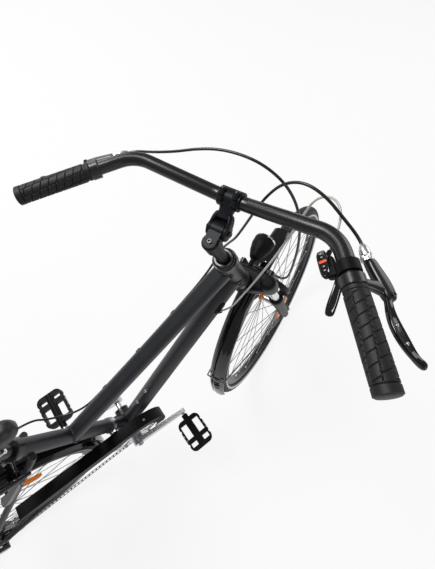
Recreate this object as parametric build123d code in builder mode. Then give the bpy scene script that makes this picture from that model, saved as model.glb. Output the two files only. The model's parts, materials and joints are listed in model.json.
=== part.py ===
from build123d import *
import os
from math import acos, atan2, cos, degrees, pi, radians, sin, sqrt, tan

# A city and touring bicycle with a trapeze frame, parked on its stand.
# Millimetres and degrees. X points forward, Y to the rider's left and Z up.
# Everything is drawn on an upright bicycle with straight steering, then steered and leaned.

# Parking pose
STEER = 21.0
LEAN = 7.0
CRANK_ANGLE = -24.5
STEER_LIMIT = 60.0

# Clearances
MITRE_GAP = 0.1
RUNNING_GAP = 0.5

# Wheels
RIM_R = 317.0
RIM_DEPTH = 20.0
RIM_WIDTH = 24.0
RIM_WALL = 3.0
RIM_WELL = 8.0
RIM_TRACK = 14.0
RIM_CROWN = 7.0
TYRE_HIGH = 33.0
TYRE_LIP = 2.0
TYRE_WALL = 4.0
TYRE_BEAD = 6.0
SPOKE_R = 1.0
SPOKES_PER_SIDE = 18
SPOKE_CROSS = 3
SPOKE_HEAD = 4.0
SPOKE_RIM_Y = 3.0
HUB_R = 13.0
HUB_END_R = 12.0
FLANGE_HALF = 1.5
AXLE_R = 4.8
AXLE_BORE_R = 5.2
AXLE_STUB = 13.0
NUT_R = 8.6
NUT_HIGH = 9.0
FRONT_HUB_HALF = 50.0
TYRE_R = RIM_R + TYRE_HIGH

# Mudguards
GUARD_GAP = 12.0
GUARD_WIDTH = 48.0
GUARD_CROWN = 9.0
GUARD_WALL = 1.6
GUARD_RIB_Y = 12.0
GUARD_RIB_WIDE = 5.0
GUARD_RIB_HIGH = 1.2
FRONT_GUARD_FROM = 65.0
FRONT_GUARD_TO = 166.0
REAR_GUARD_FROM = -10.0
REAR_GUARD_TO = 203.0
WIRE_R = 2.0
GUARD_R = TYRE_R + GUARD_GAP

# Frame geometry
BB_HEIGHT = 280.0
STAY_ROOM = 100.0
FRONT_ROOM = 267.0
HEAD_ANGLE = 71.0
SEAT_ANGLE = 70.0
SEAT_TUBE = 486.0
TOP_TUBE_JOINT = 286.0
FORK_OFFSET = 42.0
FORK_ROOM = 128.0
HEAD_LENGTH = 140.0
CUP_LOW = 10.0
CUP_HIGH = 11.0
HEADSET_STACK = 23.0
CHAINSTAY = TYRE_R + STAY_ROOM
FRONT_REACH = TYRE_R + FRONT_ROOM
FORK_LENGTH = TYRE_R + FORK_ROOM

# Frame tubes
HEAD_R = 22.0
HEAD_COLLAR_R = 25.0
HEAD_COLLAR = 12.0
HEAD_FLARE = 17.0
HEAD_BORE_R = 17.0
CUP_BORE_R = 15.5
TOP_TUBE_WIDE = 40.0
TOP_TUBE_HIGH = 33.0
TOP_TUBE_CORNER = 13.0
TOP_TUBE_DOWN = 32.0
DOWN_TUBE_R = 22.5
DOWN_TUBE_UP = 42.0
SEAT_TUBE_R = 19.0
SEAT_POST_R = 13.6
SEAT_POST_IN = 120.0
SEAT_BORE = 160.0
SHELL_R = 21.0
SHELL_WIDTH = 70.0
CUP_R = 17.4
CUP_FLANGE_R = 22.0
CUP_FLANGE = 8.0
CUP_IN = 18.0
STAY_R = 8.0
STAY_FRONT_Y = 25.0
STAY_FRONT_BACK = 12.0
STAY_FRONT_UP = 2.0
STAY_END = 36.0
STAY_SLOPE = 0.16
SEATSTAY_UP = 435.0
SEATSTAY_Y = 25.0
SEATSTAY_FOOT = 26.0
DROPOUT_Y = 67.5
DROPOUT_THICK = 7.0
DROPOUT_R = 16.0
EYELET = 18.0
BOSS_SPACING = 64.0
BOSS_FIRST = 137.0
BOSS_BORE_R = 2.1
BOSS_DEPTH = 14.0
CLAMP_WALL = 4.0
CLAMP_HIGH = 18.0
CLAMP_LUG_HALF = 12.0
PORT_ALONG = 574.0
PORT_LONG = 14.0
PORT_R = 5.0

# Fork, heights along the steering axis from the front axle's level
LEG_Y = 63.0
LEG_OFFSET = 20.0
LEG_R = 17.5
LEG_LOW = 14.0
LEG_TAPER = 2.5
LEG_LIP = 1.5
LEG_COLLAR = 34.0
STANCHION_R = 12.5
STANCHION_IN = 90.0
SEAL_HIGH = 10.0
CROWN_HIGH = 34.0
CROWN_R = 25.0
CROWN_END_R = 20.0
CROWN_EDGE = 8.0
CAP_HIGH = 18.0
CAP_R = 18.5
STEERER_R = 14.3
STEERER_BORE_R = 13.0
LOCKNUT_HIGH = 12.0
LOCKNUT_R = 22.0
LEG_PLATE = 6.0
ARCH_RISE = 48.0
ARCH_AHEAD = 20.0
ARCH_THICK = 13.0
ARCH_BAND = 13.0
ARCH_FOOT = 8.0
LEG_TOP = RIM_R - 27.0
SEAL_TOP = LEG_TOP + SEAL_HIGH
CROWN_TOP = FORK_LENGTH - CUP_LOW - 2.0
CROWN_LOW = CROWN_TOP - CROWN_HIGH
ARCH_TOP = TYRE_R + ARCH_RISE

# Rim brakes
BRAKE_BOSS_DROP = 34.0
BRAKE_BOSS_Y = 40.0
BRAKE_BOSS_AHEAD = 10.0
BRAKE_ARM = 105.0
BRAKE_THICK = 12.0
PAD_GAP = 3.0
PAD_LONG = 18.0
PAD_THICK = 9.0
PAD_DROP = 12.0
NOODLE_R = 2.6
NOODLE_BEND = 15.0
NOODLE_OUT = 64.0
NOODLE_RUN = 44.0
BELLOWS_R = 4.5
BRAKE_WIRE_R = 1.0
BRAKE_BOSS_R = RIM_R - BRAKE_BOSS_DROP

# Front lamp, pointing level
LAMP_A = 60.0
LAMP_DOWN = 14.0
LAMP_LONG = 58.0
LAMP_BACK_R = 12.0
LAMP_FRONT_R = 27.0
LAMP_LENS = 9.0
LAMP_ARM_R = 6.0

# Stem and bar, in the steering's own axes
QUILL_R = 12.0
QUILL_IN = 90.0
QUILL_HEAD_R = 16.0
STEM_HEIGHT = 81.0
PIVOT_A = 27.0
PIVOT_R = 15.0
LUG_WIDTH = 24.0
EAR_THICK = 7.0
BAR_OUT = 53.0
BAR_UP = 20.0
BAR_R = 12.5
BAR_CLAMP_R = 17.5
BAR_CLAMP_WIDE = 42.0
CLAMP_BOLT_Y = 13.0
CLAMP_LUG_R = 5.0
CLAMP_SPLIT = 1.0
CLAMP_LUG = 12.0
BEND_BACK = 6.0
BEND_RISE = 40.5
BEND_Y = 186.0
GRIP_BACK = 167.0
GRIP_RISE = 91.0
GRIP_Y = 311.0
BEND_RADIUS = 65.0
CENTRE_FLAT = 30.0
CENTRE_RADIUS = 60.0
GRIP_LENGTH = 127.0
GRIP_R = 16.3
GRIP_FLANGE = 1.4

# Levers and shifter, out from the bar and along it
LEVER_DROP = 24.0
LEVER_RING_AT = 9.0
LEVER_RING_HALF = 8.0
LEVER_RING_WALL = 5.0
LEVER_BODY_THICK = 16.0
BLADE_THICK = 10.0
BLADE_RECESS = 2.0
BARREL_R = 5.5
BARREL_LONG = 18.0
SHIFTER_AT = 30.0
SHIFTER_RING_HALF = 9.0
POD_THICK = 15.0
POD_OUT = 27.0
NOZZLE = 12.0
CABLE_R = 2.5
CABLE_GAP = 0.2

# Drive
CRANK_LENGTH = 170.0
CRANK_Y = 66.0
CRANK_THICK = 13.0
CRANK_BOSS_R = 19.0
CRANK_TIP_R = 12.0
SPINDLE_R = 8.5
CHAIN_Y = -47.0
CHAIN_PITCH = 12.7
CHAIN_HIGH = 8.4
CHAIN_WAIST = 5.2
CHAIN_WIDE = 6.0
CHAIN_PLATE = 1.0
CHAIN_PIN_R = 2.0
TOOTH_UP = 3.2
TOOTH_ROOT = 3.0
RING_TEETH = 42
RING_THICK = 2.4
RING_BAND = 17.0
SPIDER_ARMS = 5
SPROCKET_TEETH = (13, 14, 16, 18, 21, 24, 28)
SPROCKET_STEP = 4.4
SPROCKET_THICK = 1.8
SPROCKET_BORE_R = 14.0
CARRIER_R = 17.0
PULLEY_TEETH = 10
CAGE_PLATE = 2.5
CAGE_HALF = 4.0
CAGE_AHEAD = 22.0
CAGE_DOWN = 62.0
GUIDE_AHEAD = 8.0
GUIDE_DOWN = 66.0
PEDAL_Y = 150.0
PEDAL_LONG = 102.0
PEDAL_WIDE = 80.0
PEDAL_HIGH = 20.0
PEDAL_BOSS_R = 12.0
PEDAL_SPINDLE_R = 6.0
PEDAL_SPINDLE = 36.0
PEDAL_CORNER = 18.0
PEDAL_WINDOW = 21.0
PEDAL_NOTCH = 8.0
PEDAL_ROOM = 6.0

# Chain guard
GUARD_IN_Y = -27.0
GUARD_OUT_Y = -60.5
GUARD_SHELL = 2.0
GUARD_NOSE_R = 104.0
GUARD_TAIL_R = 22.0
GUARD_TAIL_AHEAD = 114.0
GUARD_TAIL_UP = 26.0
GUARD_HOLE_R = 72.0
GUARD_CLAMP_UP = 112.0

# Stand
STAND_AHEAD = 52.0
STAND_Y = 96.0
STAND_DROP = 20.0
STAND_FOOT_AHEAD = 94.0
STAND_FOOT_Y = 215.0
STAND_R = 8.0
STAND_FOOT_R = 10.0
STAND_EYE_R = 12.0
STAND_EYE_HALF = 9.0

# Saddle, from the top of the seat tube
SADDLE_RISE = 131.0
SADDLE_AHEAD = 66.0
SADDLE_LENGTH = 258.0
SADDLE_WIDTH = 168.0
SADDLE_THICK = 42.0
SADDLE_NOSE_R = 20.0
SADDLE_TAIL_R = 46.0
SADDLE_EDGE = 14.0
RAIL_R = 3.5
RAIL_Y = 22.0
RAIL_DROP = 14.0
RAIL_INSET = 44.0
SEAT_HEAD_R = 12.0
SEAT_HEAD_BACK = 8.0

# Rear rack, from the rear axle
RACK_RISE = 40.0
RACK_TUBE_R = 5.0
RACK_AHEAD = 219.0
RACK_BEHIND = 156.0
RACK_HALF = 60.0
RACK_CORNER = 30.0

# Main points and directions of the upright bicycle
bb = Vector(0, 0, BB_HEIGHT)
rear_axle_at = Vector(-sqrt(CHAINSTAY**2 - (TYRE_R - BB_HEIGHT) ** 2), 0, TYRE_R)
seat_dir = Vector(-cos(radians(SEAT_ANGLE)), 0, sin(radians(SEAT_ANGLE)))
head_dir = Vector(-cos(radians(HEAD_ANGLE)), 0, sin(radians(HEAD_ANGLE)))
head_front = Vector(sin(radians(HEAD_ANGLE)), 0, cos(radians(HEAD_ANGLE)))
fork_foot = Vector(FRONT_REACH, 0, TYRE_R) - head_front * FORK_OFFSET
head_low = fork_foot + head_dir * FORK_LENGTH
head_high = head_low + head_dir * HEAD_LENGTH
headset_top = FORK_LENGTH + HEAD_LENGTH + HEADSET_STACK
top_tube_rear = bb + seat_dir * TOP_TUBE_JOINT
top_tube_front = head_high - head_dir * TOP_TUBE_DOWN
down_tube_front = head_low + head_dir * DOWN_TUBE_UP
down_dir = (down_tube_front - bb).normalized()
down_up = Vector(-down_dir.Z, 0, down_dir.X)
port_at = bb + down_dir * PORT_ALONG - Vector(0, DOWN_TUBE_R - 2, 0)
port_dir = (down_dir * 0.85 + down_up * 0.25 - Vector(0, 0.45, 0)).normalized()
seat_top = bb + seat_dir * SEAT_TUBE
SADDLE_TOP = seat_top.Z + SADDLE_RISE
SADDLE_NOSE_X = seat_top.X + SADDLE_AHEAD
RACK_Z = TYRE_R + GUARD_R + RACK_RISE
RACK_FRONT_X = rear_axle_at.X + RACK_AHEAD
RACK_REAR_X = rear_axle_at.X - RACK_BEHIND
tyre_bead_y = RIM_WIDTH / 2 + TYRE_LIP
tyre_section_r = (tyre_bead_y**2 + TYRE_HIGH**2) / (2 * TYRE_HIGH)


# Drawing helpers


def tube(start, end, radius, mode=Mode.ADD):
    """Round bar from one point to another."""
    span = Vector(end) - Vector(start)
    with BuildSketch(Plane(origin=start, z_dir=span)) as section:
        Circle(radius)
    extrude(section.sketch, amount=span.length, mode=mode)


def turned(origin, axis, profile, mode=Mode.ADD):
    """Body of revolution; the profile is pairs of distance along the axis and radius."""
    along = Vector(axis).normalized()
    side = Vector(0, 0, 1) if abs(along.Z) < 0.9 else Vector(1, 0, 0)
    with BuildSketch(Plane(origin=origin, x_dir=along, z_dir=along.cross(side))) as half:
        with BuildLine():
            Polyline(*profile, close=True)
        make_face()
    revolve(half.sketch, axis=Axis(origin, along), mode=mode)


def hull_plate(plane, discs, thickness, mode=Mode.ADD):
    """Plate whose outline wraps the discs, each given as x, y and radius."""
    with BuildSketch(plane) as outline:
        for x, y, radius in discs:
            with Locations((x, y)):
                Circle(radius)
        make_hull()
    extrude(outline.sketch, amount=thickness, mode=mode)


def hull_chain(plane, discs, thickness):
    """Plate that follows the discs one after another, as a bent lever does."""
    for first, second in zip(discs, discs[1:]):
        hull_plate(plane, [first, second], thickness)


def bent_tube(points, bends, radius):
    """Round bar along straight runs joined by arcs of the given radii."""
    with BuildLine():
        route = FilletPolyline(*points, radius=bends)
    with BuildSketch(Plane(origin=route @ 0, z_dir=route % 0)) as section:
        Circle(radius)
    sweep(section.sketch, path=route)


def block(corner, size, mode=Mode.ADD):
    """Box from its lowest corner."""
    x, y, z = corner
    long, wide, high = size
    with BuildSketch(Plane.XY.offset(z)) as base:
        with Locations((x + long / 2, y + wide / 2)):
            Rectangle(long, wide)
    extrude(base.sketch, amount=high, mode=mode)


def side_plane(y):
    """Plane across the bicycle at y, drawn in x and z, whose extrusions go right."""
    return Plane(origin=(0, y, 0), x_dir=(1, 0, 0), z_dir=(0, -1, 0))


def mudguard_arc(guard_from, guard_to):
    """Crowned and ribbed strip round a wheel, between angles from forward through up to the rear."""
    edge = GUARD_WIDTH / 2
    low = GUARD_R - GUARD_CROWN
    rib_r = GUARD_R + GUARD_WALL - GUARD_CROWN * (GUARD_RIB_Y / edge) ** 2
    radial = Vector(cos(radians(guard_from)), 0, sin(radians(guard_from)))
    across = Vector(0, 1, 0)
    with BuildSketch(Plane(origin=(0, 0, 0), x_dir=across, z_dir=across.cross(radial))) as section:
        with BuildLine():
            ThreePointArc((-edge, low), (0, GUARD_R), (edge, low))
            Line((edge, low), (edge, low + GUARD_WALL))
            ThreePointArc((edge, low + GUARD_WALL), (0, GUARD_R + GUARD_WALL), (-edge, low + GUARD_WALL))
            Line((-edge, low + GUARD_WALL), (-edge, low))
        make_face()
        with Locations((-GUARD_RIB_Y, rib_r), (GUARD_RIB_Y, rib_r)):
            Rectangle(GUARD_RIB_WIDE, 2 * GUARD_RIB_HIGH)
    revolve(section.sketch, axis=Axis((0, 0, 0), (0, -1, 0)), revolution_arc=guard_to - guard_from)


def pitch_radius(teeth):
    """Radius of the circle that a chain's pins follow round a toothed wheel."""
    return CHAIN_PITCH / (2 * sin(pi / teeth))


def toothed_disc(plane, teeth, bore_r, thickness):
    """Toothed wheel with four corners to a tooth."""
    # columns: share of a tooth's pitch, height over the pitch circle
    shape = ((0.2, -TOOTH_ROOT), (0.4, TOOTH_UP), (0.6, TOOTH_UP), (0.8, -TOOTH_ROOT))
    corners = []
    for tooth in range(teeth):
        for share, height in shape:
            angle = 2 * pi * (tooth + share) / teeth
            reach = pitch_radius(teeth) + height
            corners.append((reach * cos(angle), reach * sin(angle)))
    with BuildSketch(plane) as face:
        with BuildLine():
            Polyline(*corners, close=True)
        make_face()
        Circle(bore_r, mode=Mode.SUBTRACT)
    extrude(face.sketch, amount=thickness)


def chain_runs(circles):
    """Round and straight stretches of a closed line round circles of x, z, radius and sense, as complex numbers."""
    ends = []
    count = len(circles)
    for index in range(count):
        x, z, radius, sense = circles[index]
        next_x, next_z, next_radius, next_sense = circles[(index + 1) % count]
        span = complex(next_x - x, next_z - z)
        skew = next_sense * next_radius - sense * radius
        heading = span / complex(sqrt(abs(span) ** 2 - skew**2), skew)
        leave = complex(x, z) - sense * radius * 1j * heading
        arrive = complex(next_x, next_z) - next_sense * next_radius * 1j * heading
        ends.append((leave, arrive, heading))
    runs = []
    for index in range(count):
        x, z, radius, sense = circles[index]
        came, heading_in = ends[index - 1][1], ends[index - 1][2]
        leave, arrive, heading_out = ends[index]
        turn = atan2((heading_out / heading_in).imag, (heading_out / heading_in).real)
        if sense * turn < 0:
            turn += sense * 2 * pi
        runs.append((abs(turn) * radius, complex(x, z), came, turn))
        runs.append((abs(arrive - leave), None, leave, arrive))
    return runs


def chain_station(runs, distance):
    """Point and heading at a distance along the runs."""
    for length, centre, start, last in runs:
        if distance <= length:
            break
        distance -= length
    share = distance / length
    if centre is None:
        return start + (last - start) * share, (last - start) / length
    spoke = (start - centre) * complex(cos(last * share), sin(last * share))
    return centre + spoke, spoke / abs(spoke) * 1j * (1 if last > 0 else -1)


def cable_radii(points):
    """Arc radius at each inner point: 0.45 of the shorter run over the tangent of half the turn."""
    radii = []
    for before, at, after in zip(points, points[1:], points[2:]):
        run_in, run_out = at - before, after - at
        half_turn = radians(run_in.get_angle(run_out)) / 2
        radii.append(0.45 * min(run_in.length, run_out.length) / tan(half_turn))
    return radii


# Frame tubes, each cut to sit on its neighbours

across = Vector(0, 1, 0)
shell_ends = (bb + across * SHELL_WIDTH, bb - across * SHELL_WIDTH)

with BuildPart() as head_tube:
    turned(head_low, head_dir, [
        (0, HEAD_BORE_R), (0, HEAD_COLLAR_R), (HEAD_COLLAR, HEAD_COLLAR_R), (HEAD_FLARE, HEAD_R),
        (HEAD_LENGTH - HEAD_FLARE, HEAD_R), (HEAD_LENGTH - HEAD_COLLAR, HEAD_COLLAR_R),
        (HEAD_LENGTH, HEAD_COLLAR_R), (HEAD_LENGTH, HEAD_BORE_R)])

with BuildPart() as seat_tube:
    tube(bb, seat_top, SEAT_TUBE_R)
    tube(seat_top - seat_dir * SEAT_BORE, seat_top, SEAT_POST_R + MITRE_GAP, Mode.SUBTRACT)
    tube(*shell_ends, SHELL_R + MITRE_GAP, Mode.SUBTRACT)

with BuildPart() as down_tube:
    tube(bb, down_tube_front, DOWN_TUBE_R)
    tube(head_low - head_dir * DOWN_TUBE_UP, head_high, HEAD_COLLAR_R + MITRE_GAP, Mode.SUBTRACT)
    tube(*shell_ends, SHELL_R + MITRE_GAP, Mode.SUBTRACT)
    tube(bb, seat_top, SEAT_TUBE_R + MITRE_GAP, Mode.SUBTRACT)
    tube(port_at - port_dir * PORT_R, port_at + port_dir * PORT_LONG, PORT_R)
    for step in (0, 1):
        boss = bb + down_dir * (BOSS_FIRST + step * BOSS_SPACING)
        boss_floor = boss + down_up * (DOWN_TUBE_R - BOSS_DEPTH)
        tube(boss_floor, boss + down_up * 2 * DOWN_TUBE_R, BOSS_BORE_R, Mode.SUBTRACT)

with BuildPart() as top_tube:
    top_dir = top_tube_front - top_tube_rear
    with BuildSketch(Plane(origin=top_tube_rear, x_dir=across, z_dir=top_dir)) as section:
        RectangleRounded(TOP_TUBE_WIDE, TOP_TUBE_HIGH, TOP_TUBE_CORNER)
    extrude(section.sketch, amount=top_dir.length)
    tube(head_low, head_high, HEAD_COLLAR_R + MITRE_GAP, Mode.SUBTRACT)
    tube(bb, seat_top, SEAT_TUBE_R + MITRE_GAP, Mode.SUBTRACT)

with BuildPart() as bottom_bracket_shell:
    shell_bore_r = CUP_R + MITRE_GAP
    turned(bb + across * (SHELL_WIDTH / 2), across * -1, [
        (0, shell_bore_r), (0, SHELL_R), (SHELL_WIDTH, SHELL_R), (SHELL_WIDTH, shell_bore_r)])

with BuildPart() as bottom_bracket_cups:
    cup_bore_r = SPINDLE_R + RUNNING_GAP
    for side in (-1, 1):
        turned(bb + across * (side * SHELL_WIDTH / 2), across * side, [
            (-CUP_IN, cup_bore_r), (-CUP_IN, CUP_R), (0, CUP_R), (0, CUP_FLANGE_R),
            (CUP_FLANGE, CUP_FLANGE_R), (CUP_FLANGE, cup_bore_r)])

stay_ends = []
for side in (-1, 1):
    stay_ends.append((bb + Vector(-STAY_FRONT_BACK, side * STAY_FRONT_Y, STAY_FRONT_UP),
                      rear_axle_at + Vector(STAY_END, side * (DROPOUT_Y + 1), -STAY_SLOPE * STAY_END)))


def dropout_plate(side, grow, mode):
    """Rear dropout plate of one side, or its cut with a little room."""
    outer = side * DROPOUT_Y + (DROPOUT_THICK if side > 0 else 0)
    hull_plate(side_plane(outer + grow), [
        (rear_axle_at.X, TYRE_R, DROPOUT_R + grow),
        (rear_axle_at.X + STAY_END + 4, TYRE_R - STAY_SLOPE * STAY_END, STAY_R + 3 + grow),
        (rear_axle_at.X - EYELET, TYRE_R + EYELET, EYELET / 2 + grow)],
        DROPOUT_THICK + 2 * grow, mode)


with BuildPart() as chainstays:
    for side, (near, far) in zip((-1, 1), stay_ends):
        tube(near, far, STAY_R)
        dropout_plate(side, 0, Mode.ADD)
    tube(rear_axle_at - across * CRANK_LENGTH, rear_axle_at + across * CRANK_LENGTH, AXLE_BORE_R, Mode.SUBTRACT)
    tube(*shell_ends, SHELL_R + MITRE_GAP, Mode.SUBTRACT)

stay_high = bb + seat_dir * SEATSTAY_UP
stay_far = rear_axle_at + Vector(0, 0, SEATSTAY_FOOT)
with BuildPart() as seatstays:
    for side in (-1, 1):
        tube(stay_high + across * side * SEATSTAY_Y, stay_far + across * side * (DROPOUT_Y + 4), STAY_R)
    for side in (-1, 1):
        dropout_plate(side, MITRE_GAP, Mode.SUBTRACT)
    tube(bb, seat_top, SEAT_TUBE_R + MITRE_GAP, Mode.SUBTRACT)

with BuildPart() as headset_cups:
    turned(head_low, head_dir, [
        (-CUP_LOW, CUP_BORE_R), (-CUP_LOW, HEAD_COLLAR_R - 2), (3 - CUP_LOW, HEAD_COLLAR_R),
        (0, HEAD_COLLAR_R), (0, CUP_BORE_R)])
    turned(head_high, head_dir, [
        (0, CUP_BORE_R), (0, HEAD_COLLAR_R), (CUP_HIGH - 3, HEAD_COLLAR_R),
        (CUP_HIGH, HEAD_COLLAR_R - 2), (CUP_HIGH, CUP_BORE_R)])

with BuildPart() as seat_clamp:
    clamp_r = SEAT_TUBE_R + CLAMP_WALL
    turned(seat_top, seat_dir, [
        (2 - CLAMP_HIGH, SEAT_TUBE_R + MITRE_GAP), (2 - CLAMP_HIGH, clamp_r), (0, clamp_r), (2, clamp_r - 2),
        (2, SEAT_POST_R + MITRE_GAP), (MITRE_GAP, SEAT_POST_R + MITRE_GAP), (MITRE_GAP, SEAT_TUBE_R + MITRE_GAP)])
    seat_back = Vector(-seat_dir.Z, 0, seat_dir.X)
    clamp_lug = seat_top - seat_dir * (CLAMP_HIGH / 2 - 2) + seat_back * (clamp_r + 3)
    tube(clamp_lug + across * CLAMP_LUG_HALF, clamp_lug - across * CLAMP_LUG_HALF, CLAMP_LUG_HALF / 2)

rail_z = SADDLE_TOP - SADDLE_THICK - RAIL_DROP
post_top = bb + seat_dir * ((rail_z - SEAT_HEAD_R - BB_HEIGHT) / seat_dir.Z)
with BuildPart() as seat_post:
    tube(seat_top - seat_dir * SEAT_POST_IN, post_top, SEAT_POST_R)

saddle_tail = SADDLE_NOSE_X - SADDLE_LENGTH
with BuildPart() as saddle:
    tail_y = SADDLE_WIDTH / 2 - SADDLE_TAIL_R
    hull_plate(Plane.XY.offset(SADDLE_TOP - SADDLE_THICK), [
        (SADDLE_NOSE_X - SADDLE_NOSE_R, 0, SADDLE_NOSE_R), (saddle_tail + SADDLE_TAIL_R, tail_y, SADDLE_TAIL_R),
        (saddle_tail + SADDLE_TAIL_R, -tail_y, SADDLE_TAIL_R)], SADDLE_THICK)
    fillet(saddle.faces().sort_by(Axis.Z)[-1].edges(), SADDLE_EDGE)

with BuildPart() as saddle_rails:
    rail_mid = rail_z + RAIL_DROP / 2
    rail_front = SADDLE_NOSE_X - RAIL_INSET
    rail_rear = saddle_tail + RAIL_INSET
    for side in (-1, 1):
        tube((rail_front + RAIL_R, side * RAIL_Y, rail_mid), (rail_rear - RAIL_R, side * RAIL_Y, rail_mid), RAIL_R)
        for x in (rail_front, rail_rear):
            tube((x, side * RAIL_Y, rail_mid - RAIL_R),
                 (x, side * RAIL_Y, rail_z + RAIL_DROP - MITRE_GAP), RAIL_R)
    head_half = RAIL_Y + RAIL_R + 1.5
    head_at = post_top + Vector(-SEAT_HEAD_BACK, 0, SEAT_HEAD_R)
    tube(head_at + across * head_half, head_at - across * head_half, SEAT_HEAD_R - 1)
    tube(post_top + seat_dir * MITRE_GAP, post_top + seat_dir * SEAT_HEAD_R, SEAT_POST_R)

# Wheels: both turn about the Y axis of their own frame
# columns: name, half width over the hub's ends, flange places left and right, flange radius
WHEELS = [
    ("front", FRONT_HUB_HALF - 4, 34.0, -34.0, 22.0),
    ("rear", DROPOUT_Y - 5.5, 34.0, -22.0, 25.0),
]
wheel_nodes = {}
for wheel_name, hub_half, flange_left, flange_right, flange_r in WHEELS:
    with BuildPart() as tyre:
        hook_y = RIM_WIDTH / 2 - RIM_WALL - MITRE_GAP
        seat_r = RIM_R + MITRE_GAP
        toe_y = hook_y - TYRE_WALL
        toe_r = seat_r - TYRE_BEAD
        liner_r = seat_r + 2
        with BuildSketch(Plane(origin=(0, 0, 0), x_dir=(0, 1, 0), z_dir=(1, 0, 0))) as section:
            with BuildLine():
                ThreePointArc((-tyre_bead_y, seat_r), (0, TYRE_R), (tyre_bead_y, seat_r))
                Polyline((tyre_bead_y, seat_r), (hook_y, seat_r), (hook_y, toe_r), (toe_y, toe_r), (toe_y, liner_r))
                ThreePointArc((toe_y, liner_r), (0, TYRE_R - TYRE_WALL), (-toe_y, liner_r))
                Polyline((-toe_y, liner_r), (-toe_y, toe_r), (-hook_y, toe_r), (-hook_y, seat_r),
                         (-tyre_bead_y, seat_r))
            make_face()
        revolve(section.sketch, axis=Axis.Y)
    with BuildPart() as rim:
        edge = RIM_WIDTH / 2
        turned((0, 0, 0), (0, 1, 0), [
            (-edge, RIM_R), (-edge, RIM_R - RIM_TRACK), (-RIM_CROWN, RIM_R - RIM_DEPTH),
            (RIM_CROWN, RIM_R - RIM_DEPTH), (edge, RIM_R - RIM_TRACK), (edge, RIM_R), (edge - RIM_WALL, RIM_R),
            (edge - RIM_WALL, RIM_R - RIM_WELL), (RIM_WALL - edge, RIM_R - RIM_WELL), (RIM_WALL - edge, RIM_R)])
    with BuildPart() as hub:
        turned((0, 0, 0), (0, 1, 0), [
            (-hub_half, AXLE_BORE_R), (-hub_half, HUB_END_R), (flange_right - FLANGE_HALF, HUB_R + 1),
            (flange_right - FLANGE_HALF, flange_r), (flange_right + FLANGE_HALF, flange_r),
            (flange_right + FLANGE_HALF, HUB_R), (flange_left - FLANGE_HALF, HUB_R),
            (flange_left - FLANGE_HALF, flange_r), (flange_left + FLANGE_HALF, flange_r),
            (flange_left + FLANGE_HALF, HUB_R + 1), (hub_half, HUB_END_R), (hub_half, AXLE_BORE_R)])
    with BuildPart() as spokes:
        pitch = 360 / SPOKES_PER_SIDE
        spoke_hub_r = flange_r - 3
        spoke_rim_r = RIM_R - RIM_DEPTH - RUNNING_GAP
        for flange, half_pitch in ((flange_left, 0.0), (flange_right, pitch / 2)):
            rim_y = SPOKE_RIM_Y if flange > 0 else -SPOKE_RIM_Y
            for index in range(SPOKES_PER_SIDE):
                lead = 1 if index % 2 else -1
                hub_angle = radians(index * pitch + half_pitch)
                rim_angle = radians((index - lead * SPOKE_CROSS) * pitch + half_pitch)
                tube((spoke_hub_r * cos(hub_angle), flange + lead * SPOKE_HEAD, spoke_hub_r * sin(hub_angle)),
                     (spoke_rim_r * cos(rim_angle), rim_y, spoke_rim_r * sin(rim_angle)), SPOKE_R)
    wheel_nodes[wheel_name] = (tyre, rim, hub, spokes)

chain_step = len(SPROCKET_TEETH) // 2
with BuildPart() as sprockets:
    for step, teeth in enumerate(SPROCKET_TEETH):
        sprocket_y = CHAIN_Y + (step - chain_step) * SPROCKET_STEP - SPROCKET_THICK / 2
        toothed_disc(Plane(origin=(0, sprocket_y, 0), z_dir=across), teeth, SPROCKET_BORE_R, SPROCKET_THICK)
    turned((0, 0, 0), across, [
        (-DROPOUT_Y + 6, HUB_END_R + 0.4), (-DROPOUT_Y + 6, CARRIER_R), (CHAIN_Y + 15, CARRIER_R),
        (CHAIN_Y + 15, SPROCKET_BORE_R + 0.6), (CHAIN_Y + 2, SPROCKET_BORE_R - 0.6)])

# Mudguards
with BuildPart() as front_mudguard:
    mudguard_arc(FRONT_GUARD_FROM, FRONT_GUARD_TO)

with BuildPart() as rear_mudguard:
    mudguard_arc(REAR_GUARD_FROM, REAR_GUARD_TO)

# Fork, in the steering's axes: forward, left, and up along the steering axis
crown_discs = [
    (0, 0, CROWN_R), (LEG_OFFSET, LEG_Y, CROWN_END_R - 1), (LEG_OFFSET, -LEG_Y, CROWN_END_R - 1)]
with BuildPart() as fork_crown:
    hull_plate(Plane.XY.offset(CROWN_LOW), crown_discs, CROWN_HIGH)
    fillet(fork_crown.faces().sort_by(Axis.Z)[-1].edges(), CROWN_EDGE)
    cap_top = CROWN_HIGH + CAP_HIGH
    for side in (-1, 1):
        turned((LEG_OFFSET, side * LEG_Y, CROWN_LOW), (0, 0, 1), [
            (0, 0), (0, CROWN_END_R), (CROWN_HIGH, CROWN_END_R), (cap_top - 6, CAP_R), (cap_top - 2, CAP_R - 3),
            (cap_top, CAP_R - 8), (cap_top, 0)])
    race_top = FORK_LENGTH - CUP_LOW - RUNNING_GAP - CROWN_LOW
    steerer_top = headset_top - LOCKNUT_HIGH - CROWN_LOW
    turned((0, 0, CROWN_LOW), (0, 0, 1), [
        (CROWN_HIGH - 4, 0), (CROWN_HIGH - 4, HEAD_COLLAR_R - 2), (race_top, HEAD_COLLAR_R - 2),
        (race_top, STEERER_R), (steerer_top, STEERER_R), (steerer_top, 0)])
    tube((0, 0, CROWN_LOW - 1), (0, 0, headset_top), STEERER_BORE_R, Mode.SUBTRACT)

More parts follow.
